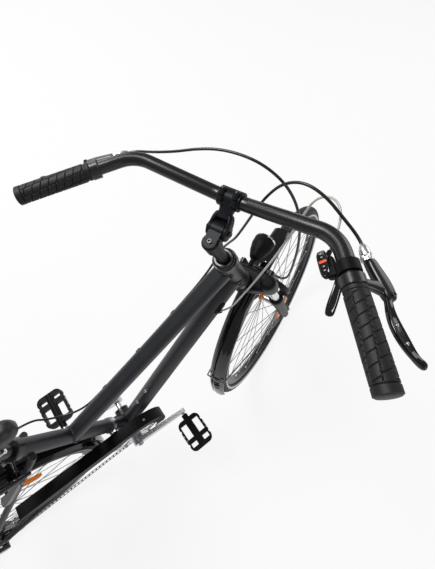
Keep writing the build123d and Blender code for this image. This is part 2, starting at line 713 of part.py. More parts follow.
with BuildPart() as headset_locknut:
    nut_bore_r = STEERER_R + MITRE_GAP
    turned((0, 0, headset_top), (0, 0, 1), [
        (0.6 - LOCKNUT_HIGH, nut_bore_r), (0.6 - LOCKNUT_HIGH, LOCKNUT_R), (-6, LOCKNUT_R), (-5, LOCKNUT_R - 2.5),
        (-1, LOCKNUT_R - 3.5), (0, LOCKNUT_R - 4.5), (0, nut_bore_r)])

with BuildPart() as fork_stanchions:
    for side in (-1, 1):
        tube((LEG_OFFSET, side * LEG_Y, LEG_TOP - STANCHION_IN), (LEG_OFFSET, side * LEG_Y, CROWN_LOW), STANCHION_R)

with BuildPart() as fork_lowers:
    collar_low = LEG_TOP - LEG_COLLAR
    boss_a = LEG_OFFSET + BRAKE_BOSS_AHEAD
    for side in (-1, 1):
        leg_at = Vector(LEG_OFFSET, side * LEG_Y, 0)
        turned(leg_at, (0, 0, 1), [
            (LEG_LOW, 0), (LEG_LOW, LEG_R - 6), (40, LEG_R - LEG_TAPER), (collar_low - 6, LEG_R - 0.5),
            (collar_low, LEG_R + LEG_LIP), (LEG_TOP, LEG_R + LEG_LIP), (LEG_TOP, 0)])
        hull_plate(side_plane(side * FRONT_HUB_HALF + (LEG_PLATE if side > 0 else 0)), [
            (FORK_OFFSET, 0, LEG_LOW + 1), (LEG_OFFSET + 2, 30, LEG_LOW - 1)], LEG_PLATE)
        arch_foot = leg_at + Vector(0, 0, collar_low + 8)
        tube(arch_foot + Vector(8, 0, 0), arch_foot + Vector(ARCH_AHEAD + 6, 0, 0), 8)
        boss_end = Vector(boss_a, side * BRAKE_BOSS_Y, BRAKE_BOSS_R)
        tube((boss_a, side * LEG_Y, BRAKE_BOSS_R), boss_end, 6.5)
        tube(boss_end, (LEG_OFFSET + ARCH_AHEAD + ARCH_THICK, side * BRAKE_BOSS_Y, BRAKE_BOSS_R), 6)
    with BuildSketch(Plane(origin=(LEG_OFFSET + ARCH_AHEAD, 0, 0), x_dir=across, z_dir=(1, 0, 0))) as arch:
        out_y = LEG_Y + ARCH_FOOT
        in_y = LEG_Y - ARCH_FOOT
        with BuildLine():
            ThreePointArc((-out_y, collar_low), (0, ARCH_TOP), (out_y, collar_low))
            Line((out_y, collar_low), (in_y, collar_low))
            ThreePointArc((in_y, collar_low), (0, ARCH_TOP - ARCH_BAND), (-in_y, collar_low))
            Line((-in_y, collar_low), (-out_y, collar_low))
        make_face()
    extrude(arch.sketch, amount=ARCH_THICK)
    for side in (-1, 1):
        leg_at = Vector(LEG_OFFSET, side * LEG_Y, 0)
        tube(leg_at + Vector(0, 0, LEG_TOP - STANCHION_IN - 10), leg_at + Vector(0, 0, LEG_TOP + 1),
             STANCHION_R + MITRE_GAP, Mode.SUBTRACT)
    tube((FORK_OFFSET, -2 * LEG_Y, 0), (FORK_OFFSET, 2 * LEG_Y, 0), AXLE_BORE_R, Mode.SUBTRACT)

with BuildPart() as fork_seals:
    seal_bore_r = STANCHION_R + MITRE_GAP
    for side in (-1, 1):
        turned((LEG_OFFSET, side * LEG_Y, LEG_TOP + MITRE_GAP), (0, 0, 1), [
            (0, seal_bore_r), (0, LEG_R + LEG_LIP), (SEAL_HIGH - 3, LEG_R + LEG_LIP),
            (SEAL_HIGH, LEG_R - 1), (SEAL_HIGH, seal_bore_r)])

# Axles with their cones and nuts, each about the Y axis of its wheel
# columns: name, inner face of the dropout, its thickness, hub end
AXLES = [
    ("front", FRONT_HUB_HALF, LEG_PLATE, FRONT_HUB_HALF - 4),
    ("rear", DROPOUT_Y, DROPOUT_THICK, DROPOUT_Y - 5.5),
]
axle_nodes = {}
for axle_name, face_in, face_thick, hub_end in AXLES:
    with BuildPart() as axle:
        face_out = face_in + face_thick
        tube(across * -(face_out + AXLE_STUB), across * (face_out + AXLE_STUB), AXLE_R)
        for side in (-1, 1):
            tube(across * side * (hub_end + RUNNING_GAP), across * side * face_in, NUT_R)
            with BuildSketch(Plane(origin=across * side * face_out, z_dir=across * side)) as nut:
                RegularPolygon(NUT_R, 6)
            extrude(nut.sketch, amount=NUT_HIGH)
    axle_nodes[axle_name] = axle

# Stem
pivot_h = headset_top + STEM_HEIGHT
pivot_at = Vector(PIVOT_A, 0, pivot_h)
arm = Vector(BAR_OUT, 0, BAR_UP)
bar_at = pivot_at + arm
with BuildPart() as stem_quill:
    tube((0, 0, headset_top - QUILL_IN), (0, 0, pivot_h), QUILL_R)
    turned((0, 0, pivot_h), (0, 0, 1), [
        (-24, 0), (-24, QUILL_R + 1), (-20, QUILL_HEAD_R), (8, QUILL_HEAD_R), (12, QUILL_R), (12, 0)])
    block((0, -LUG_WIDTH / 2, pivot_h - PIVOT_R + 2), (PIVOT_A, LUG_WIDTH, 2 * PIVOT_R - 4))
    tube(pivot_at + across * (LUG_WIDTH / 2), pivot_at - across * (LUG_WIDTH / 2), PIVOT_R)

arm_plane = Plane(origin=pivot_at, x_dir=across, z_dir=arm)
bar_ends_at = (bar_at + across * BAR_CLAMP_WIDE, bar_at - across * BAR_CLAMP_WIDE)
clamp_half = across * (BAR_CLAMP_WIDE / 2)


def clamp_half_shell(trim_from, trim_way):
    """Half of the bar's clamp with its four bolt lugs, cut back from the split."""
    tube(bar_at + clamp_half, bar_at - clamp_half, BAR_CLAMP_R)
    for lug_y in (-CLAMP_BOLT_Y, CLAMP_BOLT_Y):
        for lug_x in (-BAR_CLAMP_R, BAR_CLAMP_R):
            lug_at = bar_at + across * lug_y + arm_plane.y_dir * lug_x
            tube(lug_at - arm_plane.z_dir * CLAMP_LUG, lug_at + arm_plane.z_dir * CLAMP_LUG, CLAMP_LUG_R)
    with BuildSketch(arm_plane.offset(trim_from)) as face:
        Rectangle(2 * BAR_CLAMP_WIDE, 2 * BAR_CLAMP_WIDE)
    extrude(face.sketch, amount=trim_way * BAR_CLAMP_WIDE, mode=Mode.SUBTRACT)


with BuildPart() as stem_arm:
    clamp_half_shell(arm.length - CLAMP_SPLIT, 1)
    ear_y = LUG_WIDTH / 2 + RUNNING_GAP
    neck_at = pivot_at + arm * 0.6
    for side in (-1, 1):
        hull_plate(side_plane(side * ear_y + (EAR_THICK if side > 0 else 0)), [
            (PIVOT_A, pivot_h, PIVOT_R), (neck_at.X, neck_at.Z, PIVOT_R - 2)], EAR_THICK)
    with BuildSketch(arm_plane.offset(PIVOT_R + 4)) as neck:
        RectangleRounded(2 * (ear_y + EAR_THICK) - 2, 2 * PIVOT_R - 4, 5)
    extrude(neck.sketch, amount=arm.length - PIVOT_R - 5)
    tube(*bar_ends_at, BAR_R + MITRE_GAP, Mode.SUBTRACT)

with BuildPart() as stem_face_plate:
    clamp_half_shell(arm.length + CLAMP_SPLIT, -1)
    tube(*bar_ends_at, BAR_R + MITRE_GAP, Mode.SUBTRACT)

# Handlebar and what sits on it
bar_points = []
for side in (1, -1):
    half_bar = [
        bar_at + Vector(-GRIP_BACK, side * GRIP_Y, GRIP_RISE), bar_at + Vector(-BEND_BACK, side * BEND_Y, BEND_RISE),
        bar_at + Vector(0, side * CENTRE_FLAT, 0)]
    bar_points += half_bar if side > 0 else half_bar[::-1]
with BuildPart() as handlebar:
    bent_tube(bar_points, [BEND_RADIUS, CENTRE_RADIUS, CENTRE_RADIUS, BEND_RADIUS], BAR_R)

# columns: grip end, direction from the end towards the bend, direction in which the lever stands out
bar_sides = []
for side, end, bend in ((1, bar_points[0], bar_points[1]), (-1, bar_points[5], bar_points[4])):
    inward = (bend - end).normalized()
    ahead = (Vector(0, 0, 1).cross(inward) * side).normalized()
    over = ahead.cross(inward).normalized() * -side
    out = ahead * cos(radians(LEVER_DROP)) - over * sin(radians(LEVER_DROP))
    bar_sides.append((end, inward, out))

with BuildPart() as grips:
    grip_bore_r = BAR_R + MITRE_GAP
    for end, inward, out in bar_sides:
        turned(end, inward, [
            (-5, 0), (-5, GRIP_R - 3), (-3, GRIP_R + GRIP_FLANGE), (2, GRIP_R + GRIP_FLANGE), (4, GRIP_R),
            (GRIP_LENGTH - 6, GRIP_R - 0.5), (GRIP_LENGTH - 4, GRIP_R + GRIP_FLANGE),
            (GRIP_LENGTH, GRIP_R + GRIP_FLANGE), (GRIP_LENGTH, grip_bore_r), (-MITRE_GAP, grip_bore_r),
            (-MITRE_GAP, 0)])

# columns: distance out from the bar, along the bar towards the stem, radius
LEVER_LINK = [(BAR_R + 2, 0, 7), (38, -4, 9)]
LEVER_BODY = [(29, 32, 7.5), (41, 8, 10), (47, -18, 9.5)]
LEVER_BLADE = [
    (47, -20, 8), (53, -42, 6.5), (59, -62, 8.5), (62, -88, 8.5), (66, -104, 6.5), (70, -114, 8)]
LEVER_DISH = [(59, -62, 5.5), (62, -88, 5.5)]
lever_mouths = []
with BuildPart() as brake_levers:
    for end, inward, out in bar_sides:
        ring_at = end + inward * (GRIP_LENGTH + LEVER_RING_AT)
        ring_r = BAR_R + LEVER_RING_WALL
        turned(ring_at, inward, [
            (-LEVER_RING_HALF, grip_bore_r), (-LEVER_RING_HALF, ring_r), (LEVER_RING_HALF, ring_r),
            (LEVER_RING_HALF, grip_bore_r)])
        lever_plane = Plane(origin=ring_at, x_dir=out, z_dir=out.cross(inward))
        hull_plate(lever_plane.offset(1 - LEVER_RING_HALF), LEVER_LINK, 2 * LEVER_RING_HALF - 2)
        tube(ring_at - inward * GRIP_R, ring_at + inward * GRIP_R, grip_bore_r, Mode.SUBTRACT)
        hull_chain(lever_plane.offset(-LEVER_BODY_THICK / 2), LEVER_BODY, LEVER_BODY_THICK)
        hull_chain(lever_plane.offset(-BLADE_THICK / 2), LEVER_BLADE, BLADE_THICK)
        for dish in (-BLADE_THICK / 2, BLADE_THICK / 2 - BLADE_RECESS):
            hull_plate(lever_plane.offset(dish), LEVER_DISH, BLADE_RECESS, Mode.SUBTRACT)
        barrel_at = ring_at + out * LEVER_BODY[0][0] + inward * LEVER_BODY[0][1]
        turned(barrel_at, inward, [
            (0, 0), (0, BARREL_R), (BARREL_LONG - 4, BARREL_R), (BARREL_LONG, BARREL_R - 2), (BARREL_LONG, 0)])
        lever_mouths.append((barrel_at + inward * (BARREL_LONG + CABLE_GAP), inward))

# columns: distance under the bar, along the bar towards the stem, radius
SHIFTER_NECK = [(BAR_R, 0, 7), (21, 14, 6)]
SHIFTER_POD = [(17, 13, 5), (29, 13, 5), (17, 36, 5), (29, 36, 5)]
SHIFTER_PADDLE = [(24, 6, 6), (32, -14, 5), (40, -40, 7.5)]
with BuildPart() as shifter:
    end, inward, out = bar_sides[1]
    shift_at = end + inward * (GRIP_LENGTH + SHIFTER_AT)
    shifter_r = BAR_R + 4
    turned(shift_at, inward, [
        (-SHIFTER_RING_HALF, grip_bore_r), (-SHIFTER_RING_HALF, shifter_r), (SHIFTER_RING_HALF, shifter_r),
        (SHIFTER_RING_HALF, grip_bore_r)])
    under = inward.cross(out)
    shift_plane = Plane(origin=shift_at, x_dir=under, z_dir=out)
    hull_plate(shift_plane.offset(-POD_OUT), SHIFTER_NECK, POD_THICK)
    hull_plate(shift_plane.offset(-POD_OUT), SHIFTER_POD, POD_THICK)
    hull_chain(shift_plane.offset(-POD_OUT), SHIFTER_PADDLE, POD_THICK / 3)
    shift_way = (inward + out * 0.7).normalized()
    pod_face = shift_at + under * 23 + inward * 30 + out * (POD_THICK - POD_OUT - 2)
    tube(pod_face - shift_way * 4, pod_face + shift_way * NOZZLE, BARREL_R - 1)
    shift_mouth = pod_face + shift_way * (NOZZLE + CABLE_GAP)

# Lamp
lamp_dir = Vector(sin(radians(HEAD_ANGLE)), 0, -cos(radians(HEAD_ANGLE)))
lamp_at = Vector(LAMP_A, 0, CROWN_TOP - LAMP_DOWN)
with BuildPart() as headlamp:
    turned(lamp_at, lamp_dir, [
        (0, 0), (0, LAMP_BACK_R - 4), (4, LAMP_BACK_R), (LAMP_LONG * 0.35, LAMP_FRONT_R - 7),
        (LAMP_LONG * 0.7, LAMP_FRONT_R - 1), (LAMP_LONG, LAMP_FRONT_R), (LAMP_LONG, 0)])
    tube((LEG_OFFSET, 0, lamp_at.Z), lamp_at + lamp_dir * 12, LAMP_ARM_R)
    hull_plate(Plane.XY.offset(CROWN_LOW - 1), [(x, y, radius + MITRE_GAP) for x, y, radius in crown_discs],
               CROWN_HIGH + 2, Mode.SUBTRACT)

with BuildPart() as headlamp_lens:
    turned(lamp_at + lamp_dir * LAMP_LONG, lamp_dir, [
        (MITRE_GAP, 0), (MITRE_GAP, LAMP_FRONT_R), (LAMP_LENS - 4, LAMP_FRONT_R - 1), (LAMP_LENS - 1, LAMP_FRONT_R - 8),
        (LAMP_LENS, 0)])

with BuildPart() as front_mudguard_stays:
    spot = radians(FRONT_GUARD_TO - 20)
    tip_r = GUARD_R + 2 * WIRE_R
    tip_y = GUARD_WIDTH / 2 + WIRE_R + 0.2
    for side in (-1, 1):
        foot = Vector(LEG_OFFSET - FORK_OFFSET - LEG_R + LEG_TAPER - WIRE_R - 0.3, side * LEG_Y, 42)
        tip = Vector(tip_r * cos(spot), side * tip_y, tip_r * sin(spot))
        tube(foot, tip, WIRE_R)
    tube(tip, Vector(tip.X, -tip.Y, tip.Z), WIRE_R)
    strap_x = 10 - FORK_OFFSET
    strap_low = sqrt((GUARD_R + GUARD_WALL) ** 2 - strap_x**2) + RUNNING_GAP
    block((strap_x - 1, -8, strap_low), (2, 16, CROWN_LOW - MITRE_GAP - strap_low))

# Rim brakes, drawn in the lateral and radial directions of their wheel
stay_run = (stay_high - stay_far).normalized()
stay_back = Vector(-stay_run.Z, 0, stay_run.X)
rear_depth = (stay_far - rear_axle_at).dot(stay_back) + STAY_R + 1
# columns: name, wheel centre, way the arms face, lateral direction, first depth of the arms, way of the noodle's mouth
BRAKES = [
    ("front", Vector(FORK_OFFSET, 0, 0), Vector(1, 0, 0), across,
     LEG_OFFSET + ARCH_AHEAD + ARCH_THICK + MITRE_GAP - FORK_OFFSET, Vector(-0.15, -0.3, 0.94)),
    ("rear", rear_axle_at, stay_back, across * -1, rear_depth, stay_run * 0.35 - stay_back * 0.93),
]
brake_nodes = {}
noodle_mouths = {}
for brake_name, wheel_at, facing, lateral, depth, noodle_way in BRAKES:
    base = Plane(origin=wheel_at, x_dir=lateral, z_dir=facing)
    arm_mid = depth + BRAKE_THICK / 2
    with BuildPart() as brake:
        for side in (-1, 1):
            arm_discs = [
                (side * BRAKE_BOSS_Y, BRAKE_BOSS_R, 10), (side * (BRAKE_BOSS_Y + 3), BRAKE_BOSS_R + 30, 8),
                (side * BRAKE_BOSS_Y, BRAKE_BOSS_R + BRAKE_ARM, 7)]
            hull_chain(base.offset(depth), arm_discs, BRAKE_THICK)
            pad_plane = Plane(origin=wheel_at, x_dir=facing, z_dir=lateral * side)
            pad_r = (RIM_R - PAD_DROP) * (1 if pad_plane.y_dir.dot(base.y_dir) > 0 else -1)
            hull_plate(pad_plane.offset(RIM_WIDTH / 2 + PAD_GAP), [
                (arm_mid - PAD_LONG, pad_r, 5), (arm_mid + PAD_LONG, pad_r, 5)], PAD_THICK)
            with BuildSketch(pad_plane.offset(RIM_WIDTH / 2 + PAD_GAP + PAD_THICK)) as post:
                with Locations((arm_mid, pad_r)):
                    Circle(4)
            extrude(post.sketch, amount=BRAKE_BOSS_Y - RIM_WIDTH / 2 - PAD_GAP)
        wire_at = wheel_at + base.y_dir * (BRAKE_BOSS_R + BRAKE_ARM - 4) + facing * arm_mid
        elbow = wire_at - lateral * NOODLE_OUT
        mouth = elbow + noodle_way * NOODLE_RUN
        bent_tube([wire_at - lateral * (BRAKE_BOSS_Y - 14), elbow, mouth], [NOODLE_BEND], NOODLE_R)
        tube(wire_at - lateral * (BRAKE_BOSS_Y - 12), wire_at + lateral * (BRAKE_BOSS_Y - 20), BELLOWS_R)
        tube(wire_at, wire_at + lateral * (BRAKE_BOSS_Y + 12), BRAKE_WIRE_R)
    brake_nodes[brake_name] = brake
    noodle_mouths[brake_name] = (mouth + noodle_way * CABLE_GAP, noodle_way)

# Cables: a sleeve between two mouths, bent through points read from the photo
steer_local = Location(Plane(origin=fork_foot, x_dir=head_front, z_dir=head_dir)) * Location((0, 0, 0), (0, 0, STEER))


def moved_point(at, point):
    """Where a point lands under a placement."""
    return (at * Location(Vector(point))).position


def cable(points):
    """Sleeve along the points, with the widest arc that fits at each."""
    bends = cable_radii(points)
    print("cable", round(sum((b - a).length for a, b in zip(points, points[1:]))), "mm, bends",
          [round(bend) for bend in bends])
    bent_tube(points, bends, CABLE_R)


# columns: forward, left and up in the steering's axes
FRONT_CABLE = [
    (95, 180, 769), (101, 148, 774), (110, 114, 781), (123, 80, 787), (134, 40, 791), (138, -3, 790),
    (136, -42, 783), (129, -78, 762), (117, -102, 722), (100, -112, 672), (82, -114, 618), (66, -110, 564),
    (55, -104, 514), (50, -96, 474)]
REAR_CABLE = [
    (102, -180, 784), (117, -148, 796), (125, -112, 799), (119, -80, 784), (103, -56, 752), (82, -38, 716),
    (60, -20, 676), (46, -1, 634), (40, 18, 602), (31, 36, 572)]
SHIFT_CABLE = [
    (107, -177, 766), (124, -167, 768), (134, -151, 763), (133.5, -134, 752), (122, -122.5, 741), (97, -114, 713),
    (66, -102, 679), (30, -86, 640)]

with BuildPart() as front_brake_cable:
    mouth, way = lever_mouths[0]
    noodle_end, noodle_way = noodle_mouths["front"]
    cable([mouth, mouth + way * 20] + [Vector(*at) for at in FRONT_CABLE] + [noodle_end + noodle_way * 14, noodle_end])

top_dir = (top_tube_rear - top_tube_front).normalized()
top_side = Vector(-top_dir.Z, 0, top_dir.X) * 10 + across * (TOP_TUBE_WIDE / 2 + CABLE_R + 2)
with BuildPart() as rear_brake_cable:
    mouth, way = lever_mouths[1]
    noodle_end, noodle_way = noodle_mouths["rear"]
    steered = [mouth, mouth + way * 20] + [Vector(*at) for at in REAR_CABLE]
    run_last = top_tube_rear + top_side - top_dir * 120
    held = [top_tube_front + Vector(5, 45, -30), top_tube_front + Vector(-26, 36, -50),
            top_tube_front + top_side + top_dir * 130, run_last]
    # columns: forward, left and up from the end of the held run
    sag = [(-40, 3.5, -26), (-72, 11.5, -36), (-104, 23.5, -33), (-131, 33.5, -18)]
    tail = [run_last + Vector(*step) for step in sag] + [noodle_end + noodle_way * 26, noodle_end]
    cable([moved_point(steer_local, at) for at in steered] + held + tail)

with BuildPart() as shift_cable:
    steered = [shift_mouth, shift_mouth + shift_way * 20] + [Vector(*at) for at in SHIFT_CABLE]
    last = moved_point(steer_local, SHIFT_CABLE[-1])
    port_mouth = port_at + port_dir * (PORT_LONG + CABLE_GAP)
    drop = port_mouth - last
    fall = [last + drop * 0.3 - across * 5, last + drop * 0.62 - across * 9, port_mouth + port_dir * 40, port_mouth]
    cable([moved_point(steer_local, at) for at in steered] + fall)

# Drive, in the crank's own frame with the right crank forward
with BuildPart() as cranks:
    for side in (-1, 1):
        tip_x = -side * CRANK_LENGTH
        hull_plate(side_plane(side * CRANK_Y + (CRANK_THICK if side > 0 else 0)), [
            (0, 0, CRANK_BOSS_R), (tip_x, 0, CRANK_TIP_R)], CRANK_THICK)
        tube((tip_x, side * (CRANK_Y + 2), 0), (tip_x, side * (PEDAL_Y + PEDAL_SPINDLE), 0), PEDAL_SPINDLE_R)
    tube(across * -(CRANK_Y + 2), across * (CRANK_Y + 2), SPINDLE_R)

chainring_r = pitch_radius(RING_TEETH)
with BuildPart() as chainring:
    toothed_disc(Plane(origin=(0, CHAIN_Y - RING_THICK / 2, 0), z_dir=across), RING_TEETH, chainring_r - RING_BAND, RING_THICK)
    spider_r = chainring_r - RING_BAND + 3
    for arm_index in range(SPIDER_ARMS):
        angle = 2 * pi * (arm_index + 0.5) / SPIDER_ARMS
        hull_plate(side_plane(CHAIN_Y - 1), [
            (0, 0, 12), (spider_r * cos(angle), spider_r * sin(angle), 8)], 2 * RING_THICK)
    tube((0, CHAIN_Y - 1, 0), (0, -CRANK_Y, 0), CRANK_BOSS_R - 2)
    tube((0, 0, 0), (0, -CRANK_Y, 0), SPINDLE_R + MITRE_GAP, Mode.SUBTRACT)

# Pedal of the right side, whose outer end is at -Y
with BuildPart() as pedal:
    with BuildSketch(Plane.XY.offset(-PEDAL_HIGH / 2)) as cage:
        RectangleRounded(PEDAL_WIDE, PEDAL_LONG, PEDAL_CORNER)
        # columns: middle along the spindle, length
        for window_y, window_long in ((14, 46), (-30, 14)):
            with Locations((-PEDAL_WINDOW, window_y), (PEDAL_WINDOW, window_y)):
                Rectangle(PEDAL_WINDOW + 2, window_long, mode=Mode.SUBTRACT)
        with GridLocations(PEDAL_WIDE, PEDAL_NOTCH * 2, 2, 4):
            Rectangle(PEDAL_NOTCH / 2, PEDAL_NOTCH, mode=Mode.SUBTRACT)
    extrude(cage.sketch, amount=PEDAL_HIGH)
    tube(across * (1 - PEDAL_LONG / 2), across * (PEDAL_LONG / 2), PEDAL_BOSS_R)
    tube((0, 0, 0), across * (PEDAL_Y - CRANK_Y - CRANK_THICK - PEDAL_ROOM), PEDAL_BOSS_R - 2)
    tube(across * -(PEDAL_SPINDLE + 4), across * PEDAL_LONG, PEDAL_SPINDLE_R + 0.3, Mode.SUBTRACT)

guide_at = rear_axle_at + Vector(GUIDE_AHEAD, 0, -GUIDE_DOWN)
tension_at = guide_at + Vector(CAGE_AHEAD, 0, -CAGE_DOWN)
pulley_r = pitch_radius(PULLEY_TEETH)
chain_wheels = [
    (0, BB_HEIGHT, chainring_r, 1), (rear_axle_at.X, TYRE_R, pitch_radius(SPROCKET_TEETH[chain_step]), 1),
    (guide_at.X, guide_at.Z, pulley_r, -1), (tension_at.X, tension_at.Z, pulley_r, 1)]
runs = chain_runs(chain_wheels)
chain_long = sum(run[0] for run in runs)
links = round(chain_long / CHAIN_PITCH)
edges = ([], [])
pins = []
for half_link in range(2 * links):
    at, heading = chain_station(runs, chain_long * half_link / (2 * links))
    half_high = (CHAIN_WAIST if half_link % 2 else CHAIN_HIGH) / 2
    for edge, way in zip(edges, (1, -1)):
        corner = at + way * half_high * heading * 1j
        edge.append((corner.real, corner.imag))
    free = min(abs(at - complex(x, z)) - radius for x, z, radius, sense in chain_wheels)
    if half_link % 2 == 0 and free > TOOTH_UP + CHAIN_PIN_R + RUNNING_GAP:
        pins.append((at.real, at.imag))
with BuildPart() as chain:
    for plate_y in (CHAIN_Y + CHAIN_WIDE / 2, CHAIN_Y - CHAIN_WIDE / 2 + CHAIN_PLATE):
        with BuildSketch(side_plane(plate_y)) as band:
            with BuildLine():
                Polyline(*edges[1], close=True)
            make_face()
            with BuildLine():
                Polyline(*edges[0], close=True)
            make_face(mode=Mode.SUBTRACT)
        extrude(band.sketch, amount=CHAIN_PLATE)
    with BuildSketch(side_plane(CHAIN_Y + CHAIN_WIDE / 2 - 0.5)) as rollers:
        with Locations(*pins):
            Circle(CHAIN_PIN_R)
    extrude(rollers.sketch, amount=CHAIN_WIDE - 1)

with BuildPart() as rear_derailleur:
    hanger_y = -DROPOUT_Y - DROPOUT_THICK
    knuckle = guide_at + Vector(4, 0, 14)
    hull_plate(side_plane(hanger_y), [
        (rear_axle_at.X, TYRE_R - DROPOUT_R - 8, 9), (knuckle.X, knuckle.Z, 10)], 10)
    for plate_y in (CHAIN_Y + CAGE_HALF + CAGE_PLATE, CHAIN_Y - CAGE_HALF):
        hull_plate(side_plane(plate_y), [(guide_at.X, guide_at.Z, 11), (tension_at.X, tension_at.Z, 11)], CAGE_PLATE)
    for centre in (guide_at, tension_at):
        wheel_at = centre + across * (CHAIN_Y - RING_THICK / 2)
        toothed_disc(Plane(origin=wheel_at, z_dir=across), PULLEY_TEETH, 4, RING_THICK)
        tube(centre + across * (CHAIN_Y - 6), centre + across * (CHAIN_Y + 6), 5)
    tube(knuckle + across * (hanger_y - 5), guide_at + Vector(2, CHAIN_Y - CAGE_HALF - 1, 4), 9)

guard_tail = Vector(rear_axle_at.X + GUARD_TAIL_AHEAD, 0, TYRE_R + GUARD_TAIL_UP)
guard_discs = [(0, BB_HEIGHT, GUARD_NOSE_R), (guard_tail.X, guard_tail.Z, GUARD_TAIL_R)]
with BuildPart() as chain_guard:
    hull_plate(side_plane(GUARD_IN_Y), guard_discs, GUARD_IN_Y - GUARD_OUT_Y)
    hull_plate(side_plane(GUARD_IN_Y + 1), [(x, z, radius - GUARD_SHELL) for x, z, radius in guard_discs],
               GUARD_IN_Y - GUARD_OUT_Y + 1 - GUARD_SHELL, Mode.SUBTRACT)
    tube(bb, bb - across * CRANK_LENGTH, GUARD_HOLE_R, Mode.SUBTRACT)
    with BuildSketch(side_plane(0)) as below:
        with BuildLine():
            Polyline((guard_tail.X - 70, guard_tail.Z - 15), (-60, BB_HEIGHT + 60), (60, BB_HEIGHT - 40),
                     (140, BB_HEIGHT - 55), (140, 0), (guard_tail.X - 70, 0), close=True)
        make_face()
    extrude(below.sketch, amount=CRANK_LENGTH, mode=Mode.SUBTRACT)
    block((guard_tail.X, GUARD_OUT_Y, guard_tail.Z - 40), (16, GUARD_SHELL, 30))
    block((guard_tail.X - 50, GUARD_OUT_Y + GUARD_SHELL, guard_tail.Z - 76), (44, 40, 120), Mode.SUBTRACT)
    tube(*stay_ends[0], STAY_R + MITRE_GAP, Mode.SUBTRACT)

with BuildPart() as guard_clamp:
    band_at = bb + seat_dir * GUARD_CLAMP_UP
    band_r = SEAT_TUBE_R + 3
    turned(band_at, seat_dir, [
        (-7, SEAT_TUBE_R + MITRE_GAP), (-7, band_r), (7, band_r), (7, SEAT_TUBE_R + MITRE_GAP)])
    ear_out = GUARD_IN_Y + MITRE_GAP
    block((band_at.X - 9, ear_out, band_at.Z - 14), (18, 4, 24))
    block((band_at.X - 9, ear_out, band_at.Z - 6), (18, SEAT_TUBE_R - 8, 12))
    tube(bb, seat_top, SEAT_TUBE_R + MITRE_GAP, Mode.SUBTRACT)

# Rack, rear lamp and mudguard stays
with BuildPart() as rear_rack:
    rail_in = RACK_FRONT_X + RACK_TUBE_R - 1
    bent_tube([(rail_in, RACK_HALF, RACK_Z), (RACK_REAR_X, RACK_HALF, RACK_Z), (RACK_REAR_X, -RACK_HALF, RACK_Z),
               (rail_in, -RACK_HALF, RACK_Z)], [RACK_CORNER, RACK_CORNER], RACK_TUBE_R)
    # columns: foot from the rear axle, forward and up, place of the leg's top from the rear axle
    rack_legs = [(-13, 26, 74), (-25, 14, -76)]
    for side in (-1, 1):
        foot_y = side * (DROPOUT_Y + DROPOUT_THICK + RACK_TUBE_R + RUNNING_GAP)
        for foot_x, foot_z, leg_x in rack_legs:
            tube(rear_axle_at + Vector(foot_x, foot_y, foot_z), (rear_axle_at.X + leg_x, side * RACK_HALF, RACK_Z),
                 RACK_TUBE_R)
        tube((RACK_FRONT_X - 6, side * RACK_HALF, RACK_Z), stay_high + Vector(-26, side * 43.5, -22), RACK_TUBE_R - 1)
    for bar_x in (RACK_FRONT_X - 15, rear_axle_at.X + 32):
        tube((bar_x, -RACK_HALF, RACK_Z), (bar_x, RACK_HALF, RACK_Z), RACK_TUBE_R - 1)

with BuildPart() as rear_lamp:
    lamp_back = Vector(RACK_REAR_X - RACK_TUBE_R - MITRE_GAP, 0, RACK_Z - 6)
    hull_plate(Plane(origin=lamp_back, x_dir=across, z_dir=(-1, 0, 0)), [(-32, 0, 14), (32, 0, 14)], 26)

with BuildPart() as rear_mudguard_stays:
    spot = radians(REAR_GUARD_TO - 31)
    for side in (-1, 1):
        eyelet = rear_axle_at + Vector(-14, side * (DROPOUT_Y + DROPOUT_THICK + WIRE_R + RUNNING_GAP), -4)
        tip = rear_axle_at + Vector(tip_r * cos(spot), side * tip_y, tip_r * sin(spot))
        tube(eyelet, tip, WIRE_R)
    tube(tip, Vector(tip.X, -tip.Y, tip.Z), WIRE_R)

# Parking pose: lean, then pitch until both tyres touch the floor


def lowest(at, centre):
    """Lowest point of the tyre whose centre and axle lie in a placed frame."""
    hub_at = moved_point(at, centre)
    axle_dir = moved_point(at, Vector(centre) + across) - hub_at
    return hub_at.Z - (TYRE_R - tyre_section_r) * sqrt(1 - axle_dir.Z**2) - tyre_section_r


def leaned(pitch, lift):
    """Placement of the leaning bicycle."""
    return Location((0, 0, lift), (-LEAN, pitch, 0))


pitch = 0.0
for step in range(30):
    gap = lowest(leaned(pitch, 0) * steer_local, (FORK_OFFSET, 0, 0)) - lowest(leaned(pitch, 0), rear_axle_at)
    pitch += degrees(gap / (FRONT_REACH - rear_axle_at.X))
pose = leaned(pitch, -lowest(leaned(pitch, 0), rear_axle_at))
print("pitch", round(pitch, 4), "gap", round(gap, 6))

# Stand, long enough to reach the floor of the parking pose
stand_pivot_at = rear_axle_at + Vector(STAND_AHEAD, STAND_Y, -STAND_DROP)
foot_x = rear_axle_at.X + STAND_FOOT_AHEAD
foot_zero = moved_point(pose, (foot_x, STAND_FOOT_Y, 0)).Z
foot_rise = moved_point(pose, (foot_x, STAND_FOOT_Y, 1)).Z - foot_zero
stand_foot_at = Vector(foot_x, STAND_FOOT_Y, (STAND_FOOT_R - foot_zero) / foot_rise)
leg_down = (stand_foot_at - stand_pivot_at).normalized()
leg_back = Vector(-0.96, 0.10, 0.28).normalized()
stand_axis = leg_down.cross(leg_back).normalized()
STAND_TURN = degrees(acos(leg_down.dot(leg_back)))

with BuildPart() as stand_leg:
    tube(stand_pivot_at + leg_down * 4, stand_foot_at, STAND_R)
    tube(stand_pivot_at - stand_axis * STAND_EYE_HALF, stand_pivot_at + stand_axis * STAND_EYE_HALF, STAND_EYE_R)
    with Locations(stand_foot_at):
        Sphere(STAND_FOOT_R)

